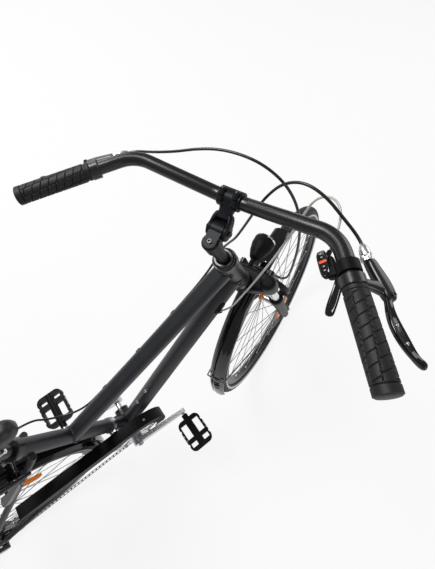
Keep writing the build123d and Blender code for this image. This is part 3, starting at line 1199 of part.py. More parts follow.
with BuildPart() as stand_bracket:
    bracket_at = stand_pivot_at - stand_axis * (STAND_EYE_HALF + RUNNING_GAP)
    tube(bracket_at, bracket_at - stand_axis * STAND_EYE_R, STAND_EYE_R + 1)
    near, far = stay_ends[1]
    stay_spot = near + (far - near) * ((stand_pivot_at.X - near.X) / (far.X - near.X))
    tube(bracket_at - stand_axis * (STAND_EYE_R - 2), stay_spot, STAND_EYE_HALF)
    tube(*stay_ends[1], STAY_R + MITRE_GAP, Mode.SUBTRACT)
    dropout_plate(1, MITRE_GAP, Mode.SUBTRACT)

# Placements of the bodies
steering_pose = pose * steer_local
front_wheel_pose = steering_pose * Location((FORK_OFFSET, 0, 0))
rear_wheel_pose = pose * Location(rear_axle_at)
crank_pose = pose * Location(bb) * Location((0, 0, 0), (0, -CRANK_ANGLE, 0))
level_crank = Location((0, 0, 0), (0, CRANK_ANGLE, 0))
half_round = Location((0, 0, 0), (0, 0, 180))
right_pedal_pose = crank_pose * Location((CRANK_LENGTH, -PEDAL_Y, 0)) * level_crank
left_pedal_pose = crank_pose * Location((-CRANK_LENGTH, PEDAL_Y, 0)) * level_crank * half_round

# columns: name, builder, placement
pieces = [
    ("head_tube", head_tube, pose),
    ("top_tube", top_tube, pose),
    ("down_tube", down_tube, pose),
    ("seat_tube", seat_tube, pose),
    ("bottom_bracket_shell", bottom_bracket_shell, pose),
    ("bottom_bracket_cups", bottom_bracket_cups, pose),
    ("chainstays", chainstays, pose),
    ("seatstays", seatstays, pose),
    ("headset_cups", headset_cups, pose),
    ("seat_clamp", seat_clamp, pose),
    ("seat_post", seat_post, pose),
    ("saddle_rails", saddle_rails, pose),
    ("saddle", saddle, pose),
    ("rear_mudguard", rear_mudguard, rear_wheel_pose),
    ("rear_mudguard_stays", rear_mudguard_stays, pose),
    ("rear_rack", rear_rack, pose),
    ("rear_lamp", rear_lamp, pose),
    ("chain_guard", chain_guard, pose),
    ("guard_clamp", guard_clamp, pose),
    ("chain", chain, pose),
    ("rear_derailleur", rear_derailleur, pose),
    ("rear_axle", axle_nodes["rear"], rear_wheel_pose),
    ("rear_brake", brake_nodes["rear"], pose),
    ("rear_brake_cable", rear_brake_cable, pose),
    ("shift_cable", shift_cable, pose),
    ("stand_bracket", stand_bracket, pose),
    ("stand_leg", stand_leg, pose),
    ("fork_crown", fork_crown, steering_pose),
    ("headset_locknut", headset_locknut, steering_pose),
    ("fork_stanchions", fork_stanchions, steering_pose),
    ("fork_seals", fork_seals, steering_pose),
    ("fork_lowers", fork_lowers, steering_pose),
    ("front_axle", axle_nodes["front"], front_wheel_pose),
    ("stem_quill", stem_quill, steering_pose),
    ("stem_arm", stem_arm, steering_pose),
    ("stem_face_plate", stem_face_plate, steering_pose),
    ("handlebar", handlebar, steering_pose),
    ("grips", grips, steering_pose),
    ("brake_levers", brake_levers, steering_pose),
    ("shifter", shifter, steering_pose),
    ("headlamp", headlamp, steering_pose),
    ("headlamp_lens", headlamp_lens, steering_pose),
    ("front_mudguard", front_mudguard, front_wheel_pose),
    ("front_mudguard_stays", front_mudguard_stays, front_wheel_pose),
    ("front_brake", brake_nodes["front"], steering_pose),
    ("front_brake_cable", front_brake_cable, steering_pose),
    ("sprockets", sprockets, rear_wheel_pose),
    ("cranks", cranks, crank_pose),
    ("chainring", chainring, crank_pose),
    ("pedal_right", pedal, right_pedal_pose),
    ("pedal_left", pedal, left_pedal_pose),
]
for wheel_name, wheel_pose in (("front", front_wheel_pose), ("rear", rear_wheel_pose)):
    for piece_name, piece in zip(("tyre", "rim", "hub", "spokes"), wheel_nodes[wheel_name]):
        pieces.append((wheel_name + "_" + piece_name, piece, wheel_pose))

# The origin is on the floor under the middle of the whole bicycle
placed = [(name, piece.part.moved(at)) for name, piece, at in pieces]
boxes = [shape.bounding_box() for name, shape in placed]
middle_x = (min(box.min.X for box in boxes) + max(box.max.X for box in boxes)) / 2
middle_y = (min(box.min.Y for box in boxes) + max(box.max.Y for box in boxes)) / 2
floor = min(box.min.Z for box in boxes)
to_origin = Location((-middle_x, -middle_y, -floor))

os.makedirs("parts", exist_ok=True)
for name, shape in placed:
    final = shape.moved(to_origin)
    final.label = name
    export_step(final, "parts/" + name + ".step")
print(len(placed), "pieces; floor at", round(floor, 4))
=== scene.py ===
# %% [markdown]
# A city bicycle on its side stand, seen from above as its rider sees it.
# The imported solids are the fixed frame: every tube, wheel and lever is already at its place.
# This lesson gives them their finishes and adds what solids leave out: tread, beads, bolts and cables.

# %% Load the frame
import json
import bmesh
import bpy
import numpy as np
from mathutils import Matrix


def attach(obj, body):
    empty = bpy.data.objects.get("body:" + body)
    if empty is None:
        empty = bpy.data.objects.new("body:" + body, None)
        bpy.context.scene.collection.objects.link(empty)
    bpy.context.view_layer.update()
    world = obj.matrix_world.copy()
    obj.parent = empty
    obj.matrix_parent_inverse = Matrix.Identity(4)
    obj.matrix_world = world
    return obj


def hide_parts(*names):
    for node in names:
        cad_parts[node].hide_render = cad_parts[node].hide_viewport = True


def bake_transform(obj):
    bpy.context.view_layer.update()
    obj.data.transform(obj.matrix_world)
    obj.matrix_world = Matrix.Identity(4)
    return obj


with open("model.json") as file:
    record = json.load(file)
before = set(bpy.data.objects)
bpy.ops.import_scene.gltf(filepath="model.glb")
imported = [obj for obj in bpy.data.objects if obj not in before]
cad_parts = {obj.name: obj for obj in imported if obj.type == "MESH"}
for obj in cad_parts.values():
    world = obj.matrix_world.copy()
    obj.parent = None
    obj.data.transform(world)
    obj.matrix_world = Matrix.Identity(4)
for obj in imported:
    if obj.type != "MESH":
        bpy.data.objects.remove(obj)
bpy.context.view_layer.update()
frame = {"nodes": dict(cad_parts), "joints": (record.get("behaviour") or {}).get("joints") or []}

nodes = frame["nodes"]

# %% [markdown]
# Each moving body of a bicycle has axes of its own: the steering leans back with the head tube and is
# turned, the wheels turn about their axles, and the crank about the bottom bracket. The joints of the frame
# say where those axles lie, so a set of axes for each body can be worked out with a few cross products.
# A piece is then drawn in millimetres in the axes of what carries it, as a workshop would measure it.

# %% Axes of the bodies
MM = 0.001
BRACKET_DROP = 70.0      # bottom bracket below the rear axle
FORK_OFFSET = 42.0       # front axle ahead of the steering axis
joints = {joint["name"]: joint for joint in frame["joints"]}


def unit(vectors):
    """Vectors divided by their lengths."""
    vectors = np.asarray(vectors, float)
    return vectors / np.linalg.norm(vectors, axis=-1, keepdims=True)


def joint_at(name):
    """Where a joint's axis passes, in metres."""
    return np.array(joints[name]["pos_m"])


def joint_axis(name):
    """A joint's direction as a unit vector."""
    return unit(joints[name]["axis"])


def axes_from(origin, ahead, left):
    """Origin and three unit vectors: ahead made square to left, left, and their cross product up."""
    ahead = unit(ahead - left * (ahead @ left))
    return origin, np.stack([ahead, left, np.cross(ahead, left)])


bracket, rear_axle = joint_at("crank_spin"), joint_at("rear_wheel_spin")
front_axle = joint_at("front_wheel_spin")
bike_left = joint_axis("rear_wheel_spin")
stay_line = unit(bracket - rear_axle)
stay_slope = np.arcsin(BRACKET_DROP * MM / np.linalg.norm(bracket - rear_axle))
bike_ahead = stay_line * np.cos(stay_slope) + np.cross(stay_line, bike_left) * np.sin(stay_slope)
steer_up = joint_axis("steering_turn")
steer_left = joint_axis("front_wheel_spin")
steer_ahead = np.cross(steer_left, steer_up)

AXES = {
    "frame": axes_from(bracket, bike_ahead, bike_left),
    "rear_wheel": axes_from(rear_axle, bike_ahead, bike_left),
    "steering": axes_from(front_axle - steer_ahead * FORK_OFFSET * MM, steer_ahead, steer_left),
    "front_wheel": axes_from(front_axle, steer_ahead, steer_left),
    "crankset": axes_from(bracket, joint_at("right_pedal_spin") - bracket, bike_left),
    "right_pedal": axes_from(joint_at("right_pedal_spin"), bike_ahead, bike_left),
    "left_pedal": axes_from(joint_at("left_pedal_spin"), bike_ahead, bike_left),
}


def put(body, points):
    """Places in metres of points given in millimetres in a body's own axes: origin + points times axes."""
    origin, directions = AXES[body]
    return origin + np.asarray(points, float) @ directions * MM


print("bike ahead", np.round(bike_ahead, 4), "steering up", np.round(steer_up, 4))

# %% [markdown]
# The photograph was taken from close above, so its perspective is strong. The camera's place, its focal
# length and the small offset of the picture's centre were measured from points on the bicycle. A camera
# object needs those as a rotation matrix, a lens for a 36 mm sensor, and a shift.

# %% Camera
PICTURE_WIDE, PICTURE_HIGH = 435, 569
SENSOR = 36.0
CAMERA_AT = (0.07953, -0.19139, 1.57224)
CAMERA_RIGHT = np.array([0.800785, -0.597317, 0.044221])
CAMERA_UP = np.array([0.533862, 0.745286, 0.399425])
FOCAL_PX = 367.58
CENTRE_PX = (202.33, 259.10)

lens = bpy.data.cameras.new("photo_camera")
lens.sensor_fit = "HORIZONTAL"
lens.sensor_width = SENSOR
lens.lens = FOCAL_PX / PICTURE_WIDE * SENSOR
lens.shift_x = (PICTURE_WIDE / 2 - CENTRE_PX[0]) / PICTURE_WIDE
lens.shift_y = -(PICTURE_HIGH / 2 - CENTRE_PX[1]) / PICTURE_WIDE
lens.clip_start = 0.05


def place_object(name, data, at, right, up, back):
    """Object at a place, its own axes along right, up and back, linked to the scene."""
    holder = bpy.data.objects.new(name, data)
    turn = Matrix(np.stack([right, up, back], 1).tolist()).to_4x4()
    holder.matrix_world = Matrix.Translation(at) @ turn
    bpy.context.scene.collection.objects.link(holder)
    return holder


bpy.context.scene.camera = place_object(
    "photo_camera", lens, CAMERA_AT, CAMERA_RIGHT, CAMERA_UP, np.cross(CAMERA_RIGHT, CAMERA_UP))
print("lens", round(lens.lens, 2), "mm")

# %% [markdown]
# Colours are written as the hex values that a painter would read from a chart. Blender's shaders count
# light, so each value is turned to linear first. One small function adds a shader node with its settings
# and its links, and each finish below is a few of those nodes.

# %% Colour and node helpers
PATCH_MM = 40.0         # width of the slow drift in a finish's colour


def linear(code):
    """Linear RGBA of an sRGB hex code, by the standard's two-part curve."""
    srgb = np.array([int(code[i:i + 2], 16) for i in (1, 3, 5)]) / 255
    light = np.where(srgb <= 0.04045, srgb / 12.92, ((srgb + 0.055) / 1.055) ** 2.4)
    return (*light, 1.0)


def add_node(tree, kind, sockets=None, **settings):
    """Adds a node; each socket takes a value, or a (node, output) pair to link from."""
    node = tree.nodes.new(kind)
    for field, value in settings.items():
        setattr(node, field, value)
    for socket, value in (sockets or {}).items():
        if isinstance(value, tuple) and isinstance(value[0], bpy.types.Node):
            tree.links.new(value[0].outputs[value[1]], node.inputs[socket])
        else:
            node.inputs[socket].default_value = value
    return node


def new_finish(name):
    """An empty material and its node tree."""
    material = bpy.data.materials.new(name)
    material.use_nodes = True
    material.node_tree.nodes.clear()
    return material, material.node_tree


def grained(name, light_hex, dark_hex, grain_mm, depth_mm, rough, **shader):
    """A surface whose gloss and height follow one grain, and its colour a slow drift.

    A noise of the grain's size drives roughness over the given pair, and height as noise times depth.
    A wide noise runs the colour from dark to light."""
    material, tree = new_finish(name)
    place = add_node(tree, "ShaderNodeTexCoord")
    grain = add_node(tree, "ShaderNodeTexNoise", {
        "Vector": (place, "Object"), "Scale": 1 / (grain_mm * MM), "Detail": 3.0, "Roughness": 0.55})
    patch = add_node(tree, "ShaderNodeTexNoise", {
        "Vector": (place, "Object"), "Scale": 1 / (PATCH_MM * MM), "Detail": 2.0})
    colour = add_node(tree, "ShaderNodeMix", {
        0: (patch, "Fac"), 6: linear(dark_hex), 7: linear(light_hex)}, data_type="RGBA")
    gloss = add_node(tree, "ShaderNodeMapRange", {
        "Value": (grain, "Fac"), "From Min": 0.3, "From Max": 0.7, "To Min": rough[0], "To Max": rough[1]})
    bump = add_node(tree, "ShaderNodeBump", {
        "Height": (grain, "Fac"), "Distance": depth_mm * MM, "Strength": 1.0})
    body = add_node(tree, "ShaderNodeBsdfPrincipled", {
        "Base Color": (colour, 2), "Roughness": (gloss, 0), "Normal": (bump, 0), **shader})
    add_node(tree, "ShaderNodeOutputMaterial", {"Surface": (body, 0)})
    return material


# %% [markdown]
# The frame is aluminium tube under a matt anthracite powder coat: fused powder leaves a fine orange peel, so
# highlights are broad and soft. Bar and headset are satin black anodised, and the stem is forged and matt.
# Mudguards are glossy moulded plastic, the chain guard, lamp and pedals a duller filled nylon. Bright parts
# are polished or drawn metal.
# Black goods send back little light of their own, so most of what the eye sees on them is the sheen: its
# strength is set lower than glass, because coats and plastics are full of dull pigment at the surface.

# %% Finishes
DEAD = {"Specular IOR Level": 0.1}
DULL = {"Specular IOR Level": 0.32}
GLOSS = {"Specular IOR Level": 0.5}
# columns: name, light and dark colour, grain and its depth in millimetres, roughness
# A metal's own grain is finer than a render shows, so it is drawn 2 mm wide and very shallow.
# melted powder: a fine orange peel with a broad soft highlight
powder_coat = grained("powder_coat_anthracite", "#26272b", "#1e1f23", 0.9, 0.03, (0.34, 0.46), **DULL)
# dyed oxide on ground tube: a satin streak
satin_black = grained("anodised_aluminium_satin_black", "#121316", "#0c0d0f", 0.8, 0.003, (0.25, 0.32),
                      **GLOSS)
# forged and blasted: hardly any highlight
forged_black = grained("forged_aluminium_matt_black", "#1b1c20", "#131417", 0.8, 0.006, (0.34, 0.44), **DEAD)
# paint over a casting: grey and dull
fork_paint = grained("painted_magnesium_dark_grey", "#1d1e21", "#151619", 0.7, 0.006, (0.36, 0.46), **DEAD)
# wet paint levels itself: a dark mirror with a slow wave
gloss_paint = grained("painted_aluminium_gloss_black", "#070708", "#040405", 5.0, 0.02, (0.08, 0.14), **GLOSS)
# a polished mould: sharp reflections
moulded_gloss = grained("moulded_abs_gloss_black", "#0d0d0f", "#08080a", 6.0, 0.02, (0.07, 0.13), **GLOSS)
# an etched mould: fine pits and a dull skin
moulded_nylon = grained("moulded_nylon_black", "#0d0d0f", "#08080a", 0.9, 0.03, (0.42, 0.56), **DEAD)
# soft and pitted: light is scattered wide
moulded_rubber = grained("moulded_rubber_black", "#161618", "#0e0e10", 0.8, 0.06, (0.48, 0.62), **DULL)
# blued steel: dark with a small bright edge
black_oxide = grained("black_oxide_steel", "#17171a", "#0e0e10", 0.5, 0.01, (0.22, 0.34), **GLOSS)
# plated on ground steel: a mirror
hard_chrome = grained("hard_chromed_steel", "#d8d9dc", "#c9cacd", 2.0, 0.0005, (0.09, 0.13), Metallic=1.0)
# buffed: bright, with a soft blur
polished_alloy = grained("polished_aluminium", "#cfd0d3", "#c2c3c6", 2.0, 0.0006, (0.30, 0.35), Metallic=1.0)
# wire from a die: greyer than chrome
drawn_steel = grained("drawn_stainless_steel", "#96979a", "#7e7f82", 2.0, 0.0006, (0.28, 0.36), Metallic=1.0)
# plated in a barrel: pale and slightly cloudy
zinc_plate = grained("zinc_plated_steel", "#c4c6c9", "#adafb4", 2.0, 0.0008, (0.26, 0.34), Metallic=1.0)
# oil and dust on steel: brownish and uneven
chain_steel = grained("oiled_chain_steel", "#6c6b68", "#4d4b47", 2.0, 0.002, (0.32, 0.45), Metallic=1.0)
# rolled section, dyed: satin with a thin highlight
rim_anodised = grained("anodised_aluminium_rim_black", "#1e1e20", "#161618", 0.6, 0.006, (0.28, 0.38),
                       **GLOSS)
# drawn through a die: one long thin highlight
black_sleeve = grained("extruded_pvc_black", "#101012", "#0b0b0c", 1.0, 0.008, (0.26, 0.36), **GLOSS)
grey_sleeve = grained("extruded_pvc_pearl_grey", "#bdbab2", "#a9a69e", 1.0, 0.008, (0.26, 0.36), **GLOSS)
# coloured through, glossy and a little uneven
pedal_amber = grained("moulded_acrylic_dark_amber", "#8a3e12", "#6d2d0b", 3.0, 0.12, (0.12, 0.2), IOR=1.49)
amber_acrylic = grained("moulded_acrylic_amber", "#f58a1f", "#e06f10", 3.0, 0.12, (0.10, 0.18), IOR=1.49)
red_lens = grained("moulded_acrylic_red", "#b3161a", "#8f0f13", 3.0, 0.05, (0.08, 0.14), IOR=1.49)
# ink: flat and chalky
orange_mark = grained("pad_printed_orange", "#d9541c", "#c44a14", 2.0, 0.005, (0.35, 0.45), **DULL)
pale_mark = grained("pad_printed_pale_grey", "#a6a8aa", "#96989a", 2.0, 0.005, (0.35, 0.45), **DULL)
# clear: it bends what lies behind it
lens_plastic = grained("moulded_polycarbonate_clear", "#f4f7fa", "#eef2f6", 4.0, 0.01, (0.03, 0.06),
                       **{"IOR": 1.58, "Transmission Weight": 1.0})

FINISHES = [
    (powder_coat, ["head_tube", "top_tube", "down_tube", "seat_tube", "bottom_bracket_shell", "chainstays",
                   "seatstays"]),
    (satin_black, ["headset_cups", "headset_locknut", "seat_clamp", "seat_post", "handlebar",
                   "bottom_bracket_cups", "front_brake", "rear_brake", "rear_rack", "rear_derailleur",
                   "stand_bracket", "stand_leg"]),
    (forged_black, ["stem_quill", "stem_arm", "stem_face_plate"]),
    (fork_paint, ["fork_lowers", "fork_crown"]),
    (gloss_paint, ["brake_levers"]),
    (moulded_gloss, ["front_mudguard", "rear_mudguard"]),
    (moulded_nylon, ["chain_guard", "pedal_left", "pedal_right", "shifter", "headlamp"]),
    (moulded_rubber, ["grips", "fork_seals", "front_tyre", "rear_tyre", "saddle"]),
    (hard_chrome, ["fork_stanchions", "saddle_rails"]),
    (polished_alloy, ["cranks", "chainring", "front_hub", "rear_hub"]),
    (drawn_steel, ["front_spokes", "rear_spokes", "front_axle", "rear_axle", "front_mudguard_stays",
                   "rear_mudguard_stays"]),
    (chain_steel, ["chain", "sprockets"]),
    (zinc_plate, ["guard_clamp"]),
    (rim_anodised, ["front_rim", "rear_rim"]),
    (black_sleeve, ["front_brake_cable", "rear_brake_cable"]),
    (grey_sleeve, ["shift_cable"]),
    (lens_plastic, ["headlamp_lens"]),
    (red_lens, ["rear_lamp"]),
]
for material, names in FINISHES:
    for name in names:
        mesh = nodes[name].data
        mesh.materials.clear()
        mesh.materials.append(material)
print("finishes", len(FINISHES), "left bare", set(nodes) - {name for _, names in FINISHES for name in names})

# %% [markdown]
# Every new piece is a surface on a grid: rows along the piece, columns round it. Four neighbours make a face,
# so the faces of any grid come from its row and column numbers alone. Where a grid closes to a pole, its last
# row lies in one point: merging doubles there leaves a fan of triangles, and the piece is watertight.

# %% Piece helpers
ACROSS = np.array([0.0, 1.0, 0.0])      # to the left, in any body's axes
SIDES = (1, -1)                         # left and right
SHARP_EDGE = np.radians(38)


def even_angles(steps):
    """Even angles round a circle, in radians."""
    return np.arange(steps) * 2 * np.pi / steps


def blunted(wave, power):
    """Sign of a wave times its size to a power: below one, a round section grows squarer."""
    return np.sign(wave) * np.abs(wave) ** power


def ramp(value, start, end):
    """Smooth step: 0 before start, 1 after end, and 3t squared minus 2t cubed between."""
    share = np.clip((value - start) / (end - start), 0, 1)
    return share * share * (3 - 2 * share)


def grid_faces(rows, columns, wrap_rows=False):
    """Quads between the neighbours of a grid that closes round its columns, and round its rows if wrapped."""
    row = np.arange(rows - (not wrap_rows))[:, None]
    column = np.arange(columns)[None, :]
    below, beside = (row + 1) % rows, (column + 1) % columns
    return np.stack([row * columns + column, below * columns + column,
                     below * columns + beside, row * columns + beside], -1).reshape(-1, 4)


def together(*shapes):
    """Pairs of points and faces as one pair: each one's faces count on from the points before it."""
    starts = np.cumsum([0] + [len(points) for points, _ in shapes])
    return (np.concatenate([points for points, _ in shapes]),
            np.concatenate([faces + start for (_, faces), start in zip(shapes, starts)]))


def joined(grids, wrap_rows=False):
    """Points and faces of several grids as one pair."""
    return together(*[(grid.reshape(-1, 3), grid_faces(*grid.shape[:2], wrap_rows)) for grid in grids])


def link_piece(name, mesh, finish):
    """Object of a mesh, with smooth faces and one finish, linked to the scene."""
    mesh.polygons.foreach_set("use_smooth", np.ones(len(mesh.polygons), bool))
    mesh.materials.clear()
    mesh.materials.append(finish)
    piece = bpy.data.objects.new(name, mesh)
    bpy.context.scene.collection.objects.link(piece)
    print(name, len(mesh.polygons), "faces")
    return piece


def add_piece(name, body, shape, finish):
    """Mesh piece from points and faces in a body's axes: poles merged, faces outwards, riding on the body."""
    points, faces = shape
    mesh = bpy.data.meshes.new(name)
    mesh.from_pydata(put(body, points).tolist(), [], faces.tolist())
    form = bmesh.new()
    form.from_mesh(mesh)
    bmesh.ops.remove_doubles(form, verts=form.verts, dist=1e-6)
    bmesh.ops.recalc_face_normals(form, faces=form.faces)
    form.to_mesh(mesh)
    form.free()
    piece = link_piece(name, mesh, finish)
    mesh.set_sharp_from_angle(angle=SHARP_EDGE)
    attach(piece, body)
    return piece


def turned_shape(profile, sides):
    """Rings of a lathe profile of (radius, height) pairs about Z: x = r cos, y = r sin, z = height."""
    radius, height = np.array(profile, float).T[..., None]
    around = even_angles(sides)
    points = np.stack([radius * np.cos(around), radius * np.sin(around), height + 0 * around], -1)
    return points.reshape(-1, 3), grid_faces(len(profile), sides)


def copies(shape, faces, places, ways, sizes=None):
    """A small shape repeated in one array: Z along each way, foot at each place, scaled by each size."""
    places, ways = np.asarray(places, float), unit(ways)
    sizes = np.ones(len(places)) if sizes is None else np.asarray(sizes, float)
    spare = np.where(np.abs(ways[:, 2:]) < 0.9, [[0.0, 0.0, 1.0]], [[1.0, 0.0, 0.0]])
    side = unit(np.cross(spare, ways))
    turns = np.stack([side, np.cross(ways, side), ways], 1)
    points = places[:, None] + np.einsum("pk,nkj->npj", shape, turns) * sizes[:, None, None]
    lifted = faces[None] + np.arange(len(places))[:, None, None] * len(shape)
    return points.reshape(-1, 3), lifted.reshape(-1, faces.shape[1])


def pillow(half_sizes, square, rows=18, columns=36):
    """Grid of a box with round edges: a sphere's sines and cosines, blunted, times the half sizes."""
    high = np.linspace(-np.pi / 2, np.pi / 2, rows)[:, None]
    around = even_angles(columns)
    level = blunted(np.cos(high), square)
    return np.stack([level * blunted(np.cos(around), square), level * blunted(np.sin(around), square),
                     blunted(np.sin(high), square) * np.ones(columns)], -1) * half_sizes


# %% [markdown]
# Three cables leave the bar. The two brake sleeves are black, and the gear sleeve is pearl grey. Each is a
# spline through the air between two mouths, with the points of its route as control points, so it bends as a
# stiff sleeve does. Two of them end on the frame: their routes run from the steering's axes into the frame's,
# and they are fixed meshes that stay as they are when the bar turns.

# %% Cables
BRAKE_SLEEVE_R, SHIFT_SLEEVE_R = 2.5, 2.0
# columns: forward, left and up, in the axes of the steering, or of the frame where the sleeve is held
FRONT_CABLE = [
    (75.4, 223.3, 765.2), (89.2, 212.6, 760.9), (96, 180, 765), (101, 148, 774), (110, 114, 781),
    (123, 80, 787), (134, 40, 791), (138, -3, 790), (136, -42, 783), (129, -78, 762), (117, -102, 722),
    (100, -112, 672), (82, -114, 618), (66, -110, 564), (55, -104, 514), (50, -96, 474), (50.4, -81.5, 438.7),
    (52.5, -77.3, 425.5)]
REAR_CABLE_STEERED = [
    (75.4, -223.3, 765.2), (89.2, -212.6, 760.9), (103, -180, 780), (117, -148, 796), (125, -112, 799),
    (119, -80, 784), (103, -56, 752), (82, -38, 716), (60, -20, 676), (46, -1, 634), (40, 18, 602),
    (31, 36, 572)]
REAR_CABLE_HELD = [
    (391.5, 45, 580.4), (360.5, 36, 560.4), (286, 24.5, 527.3), (6, 24.5, 329.8), (-34, 28, 303.8),
    (-66, 36, 293.8), (-98, 48, 296.8), (-125, 58, 311.8), (-140.3, 64, 344.6), (-164.1, 64, 354.6)]
SHIFT_CABLE_STEERED = [
    (50.9, -184, 768), (69, -183.2, 759.5), (107, -177, 766), (124, -167, 768), (134, -151, 763),
    (133.5, -134, 752), (122, -122.5, 741), (97, -114, 713), (66, -102, 679), (30, -86, 640)]
SHIFT_CABLE_HELD = [(401.3, -61.8, 618.1), (376.6, -52.1, 551.4), (359.5, -45, 505.7), (347.2, -26.9, 472.3)]


def sleeve(name, route, radius, finish):
    """Round sleeve on a spline of order 3 with the route's points as control points, made a mesh."""
    line = bpy.data.curves.new(name + "_line", "CURVE")
    line.dimensions = "3D"
    spline = line.splines.new("NURBS")
    spline.points.add(len(route) - 1)
    spline.points.foreach_set("co", np.column_stack([route, np.ones(len(route))]).ravel())
    spline.order_u = 3
    spline.use_endpoint_u = True
    spline.resolution_u = 10
    line.bevel_depth = radius * MM
    line.bevel_resolution = 4
    line.use_fill_caps = True
    holder = bpy.data.objects.new(name + "_line", line)
    mesh = bpy.data.meshes.new_from_object(holder)
    bpy.data.objects.remove(holder)
    mesh.name = name
    piece = link_piece(name, mesh, finish)
    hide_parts(name.replace("_sleeve", "_cable"))
    return piece


front_route = put("steering", FRONT_CABLE)
front_sleeve = sleeve("front_brake_sleeve", front_route, BRAKE_SLEEVE_R, black_sleeve)
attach(front_sleeve, "steering")
rear_route = np.concatenate([put("steering", REAR_CABLE_STEERED), put("frame", REAR_CABLE_HELD)])
rear_sleeve = sleeve("rear_brake_sleeve", rear_route, BRAKE_SLEEVE_R, black_sleeve)
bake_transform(rear_sleeve)
shift_route = np.concatenate([put("steering", SHIFT_CABLE_STEERED), put("frame", SHIFT_CABLE_HELD)])
shift_sleeve = sleeve("shift_sleeve", shift_route, SHIFT_SLEEVE_R, grey_sleeve)
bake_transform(shift_sleeve)

# %% [markdown]
# The grips are moulded rubber with raised blocks, laid like bricks that lean round the bar, between two plain
# rings. The blocks are real relief: the radius of the sleeve is a function of the distance along it and the
# angle round it. The distance to the nearest groove gives the height, so each block gets a soft edge.

# %% Grips
BAR_R = 12.5
GRIP_END, GRIP_BEND = np.array([-87.0, 311.0, 833.0]), np.array([74.0, 186.0, 782.5])
GRIP_LENGTH, GRIP_R, GRIP_CAP = 127.0, 16.3, 4.6
GRIP_ROWS, GRIP_COLUMNS = 230, 150
BLOCKS_ROUND, BLOCK_LONG, BLOCK_HIGH = 7, 15.0, 1.2
BLOCK_LEAN = 0.007          # columns of blocks drift round the bar, in blocks for each millimetre along it
BLOCK_SLANT = 0.35          # share of a block's length by which its end slants
GROOVE_HALF, GROOVE_SOFT, GROOVE_FLOOR = 0.3, 0.7, 0.9
# distances along the grip between which the blocks start and end, and the end rings fall and rise
BLOCKS_START, BLOCKS_END, OUTER_RING, INNER_RING = (7.6, 8.4), (117, 118), (6, 7), (121, 122)
RING_HIGH, INNER_SHARE, WAIST = 0.5, 0.6, 0.3


def bar_side(side):
    """End of a grip and three directions there: along the bar, level ahead, and over it."""
    mirror = np.array([1, side, 1])
    along = unit((GRIP_BEND - GRIP_END) * mirror)
    ahead = unit(np.cross((0, 0, 1), along) * side)
    over = unit(np.cross(ahead, along)) * -side
    return GRIP_END * mirror, along, ahead, over


def grip_points(side):
    """Grid of a grip: radius = core + end rings + block height by the distance to the nearest groove."""
    along_mm = np.linspace(0, GRIP_LENGTH, GRIP_ROWS)[:, None]
    angle = even_angles(GRIP_COLUMNS)[None, :]
    column = angle / (2 * np.pi) * BLOCKS_ROUND + along_mm * BLOCK_LEAN
    row = along_mm / BLOCK_LONG + 0.5 * (np.floor(column) % 2) + BLOCK_SLANT * (column % 1)
    wide = 2 * np.pi * GRIP_R / BLOCKS_ROUND
    to_side = (0.5 - np.abs(column % 1 - 0.5)) * wide
    to_end = (0.5 - np.abs(row % 1 - 0.5)) * BLOCK_LONG
    block = ramp(np.minimum(to_side, to_end), GROOVE_HALF, GROOVE_HALF + GROOVE_SOFT)
    treaded = ramp(along_mm, *BLOCKS_START) * (1 - ramp(along_mm, *BLOCKS_END))
    ring = (1 - ramp(along_mm, *OUTER_RING)) + INNER_SHARE * ramp(along_mm, *INNER_RING)
    waist = -WAIST * (1 - treaded) * (1 - ring)
    radius = (GRIP_R - GROOVE_FLOOR + waist + BLOCK_HIGH * block * treaded
              + (RING_HIGH + GROOVE_FLOOR) * ring)
    row_of = np.ones((1, GRIP_COLUMNS))
    radius = np.concatenate([0 * row_of, (GRIP_R - 2) * row_of, radius, (BAR_R + 0.15) * row_of])
    rounded = along_mm - 3 * (along_mm < 0.1)
    distance = np.concatenate([[[-GRIP_CAP], [-GRIP_CAP]], rounded, [[GRIP_LENGTH]]])
    end, along, ahead, over = bar_side(side)
    return (end + distance[..., None] * along + (radius * np.cos(angle))[..., None] * ahead
            + (radius * np.sin(angle))[..., None] * over)


grips = joined([grip_points(side) for side in SIDES])
grip_pair = add_piece("grip_sleeves", "steering", grips, moulded_rubber)
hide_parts("grips")

# %% [markdown]
# A brake lever is cast and forged, with no flat side: a ring on the bar, a short neck, a body that holds the
# pivot, and a slim blade with a dished face and a turned-out tip. Each is a flat oval section carried along a
# smooth line. A table gives a few places on the line with the oval's size there, and one polynomial goes
# through all of them.

# %% Brake levers
# columns: out from the bar, along it towards the stem, half width, half thickness
LEVER_NECK = [(12, 0, 7.5, 6.5), (27, -1, 7.5, 6.5), (46, -4, 12.0, 7.0)]
LEVER_BODY = [(39, 41, 7.5, 8.0), (44, 20, 9.5, 8.5), (49, 0, 10.5, 9.0), (52, -23, 8.0, 7.5)]
BLADE = [(49, -12, 6.5, 5.0), (45, -35, 6.0, 5.0), (45, -56, 8.5, 5.5), (50, -77, 8.5, 5.0),
         (57, -94, 5.5, 5.0), (69, -107, 7.5, 5.5)]
LEVER_RING_SHAPE = [(12.7, -8), (16.6, -8), (17.5, -7), (17.5, 7), (16.6, 8), (12.7, 8), (12.7, -8)]
LEVER_RING = 136.0              # the ring's distance from the grip's end
LEVER_SET = np.radians(36.0)    # how far the levers are turned down round the bar
DISH_DEEP, DISH_START, DISH_END, DISH_EDGE = 0.45, (0.14, 0.32), (0.72, 0.90), (0.4, 0.9)
OVAL_SQUARE, OVAL_ENDS, OVAL_COLUMNS = 0.75, 16, 40
LENGTHS = np.linspace(0, 1, 72)


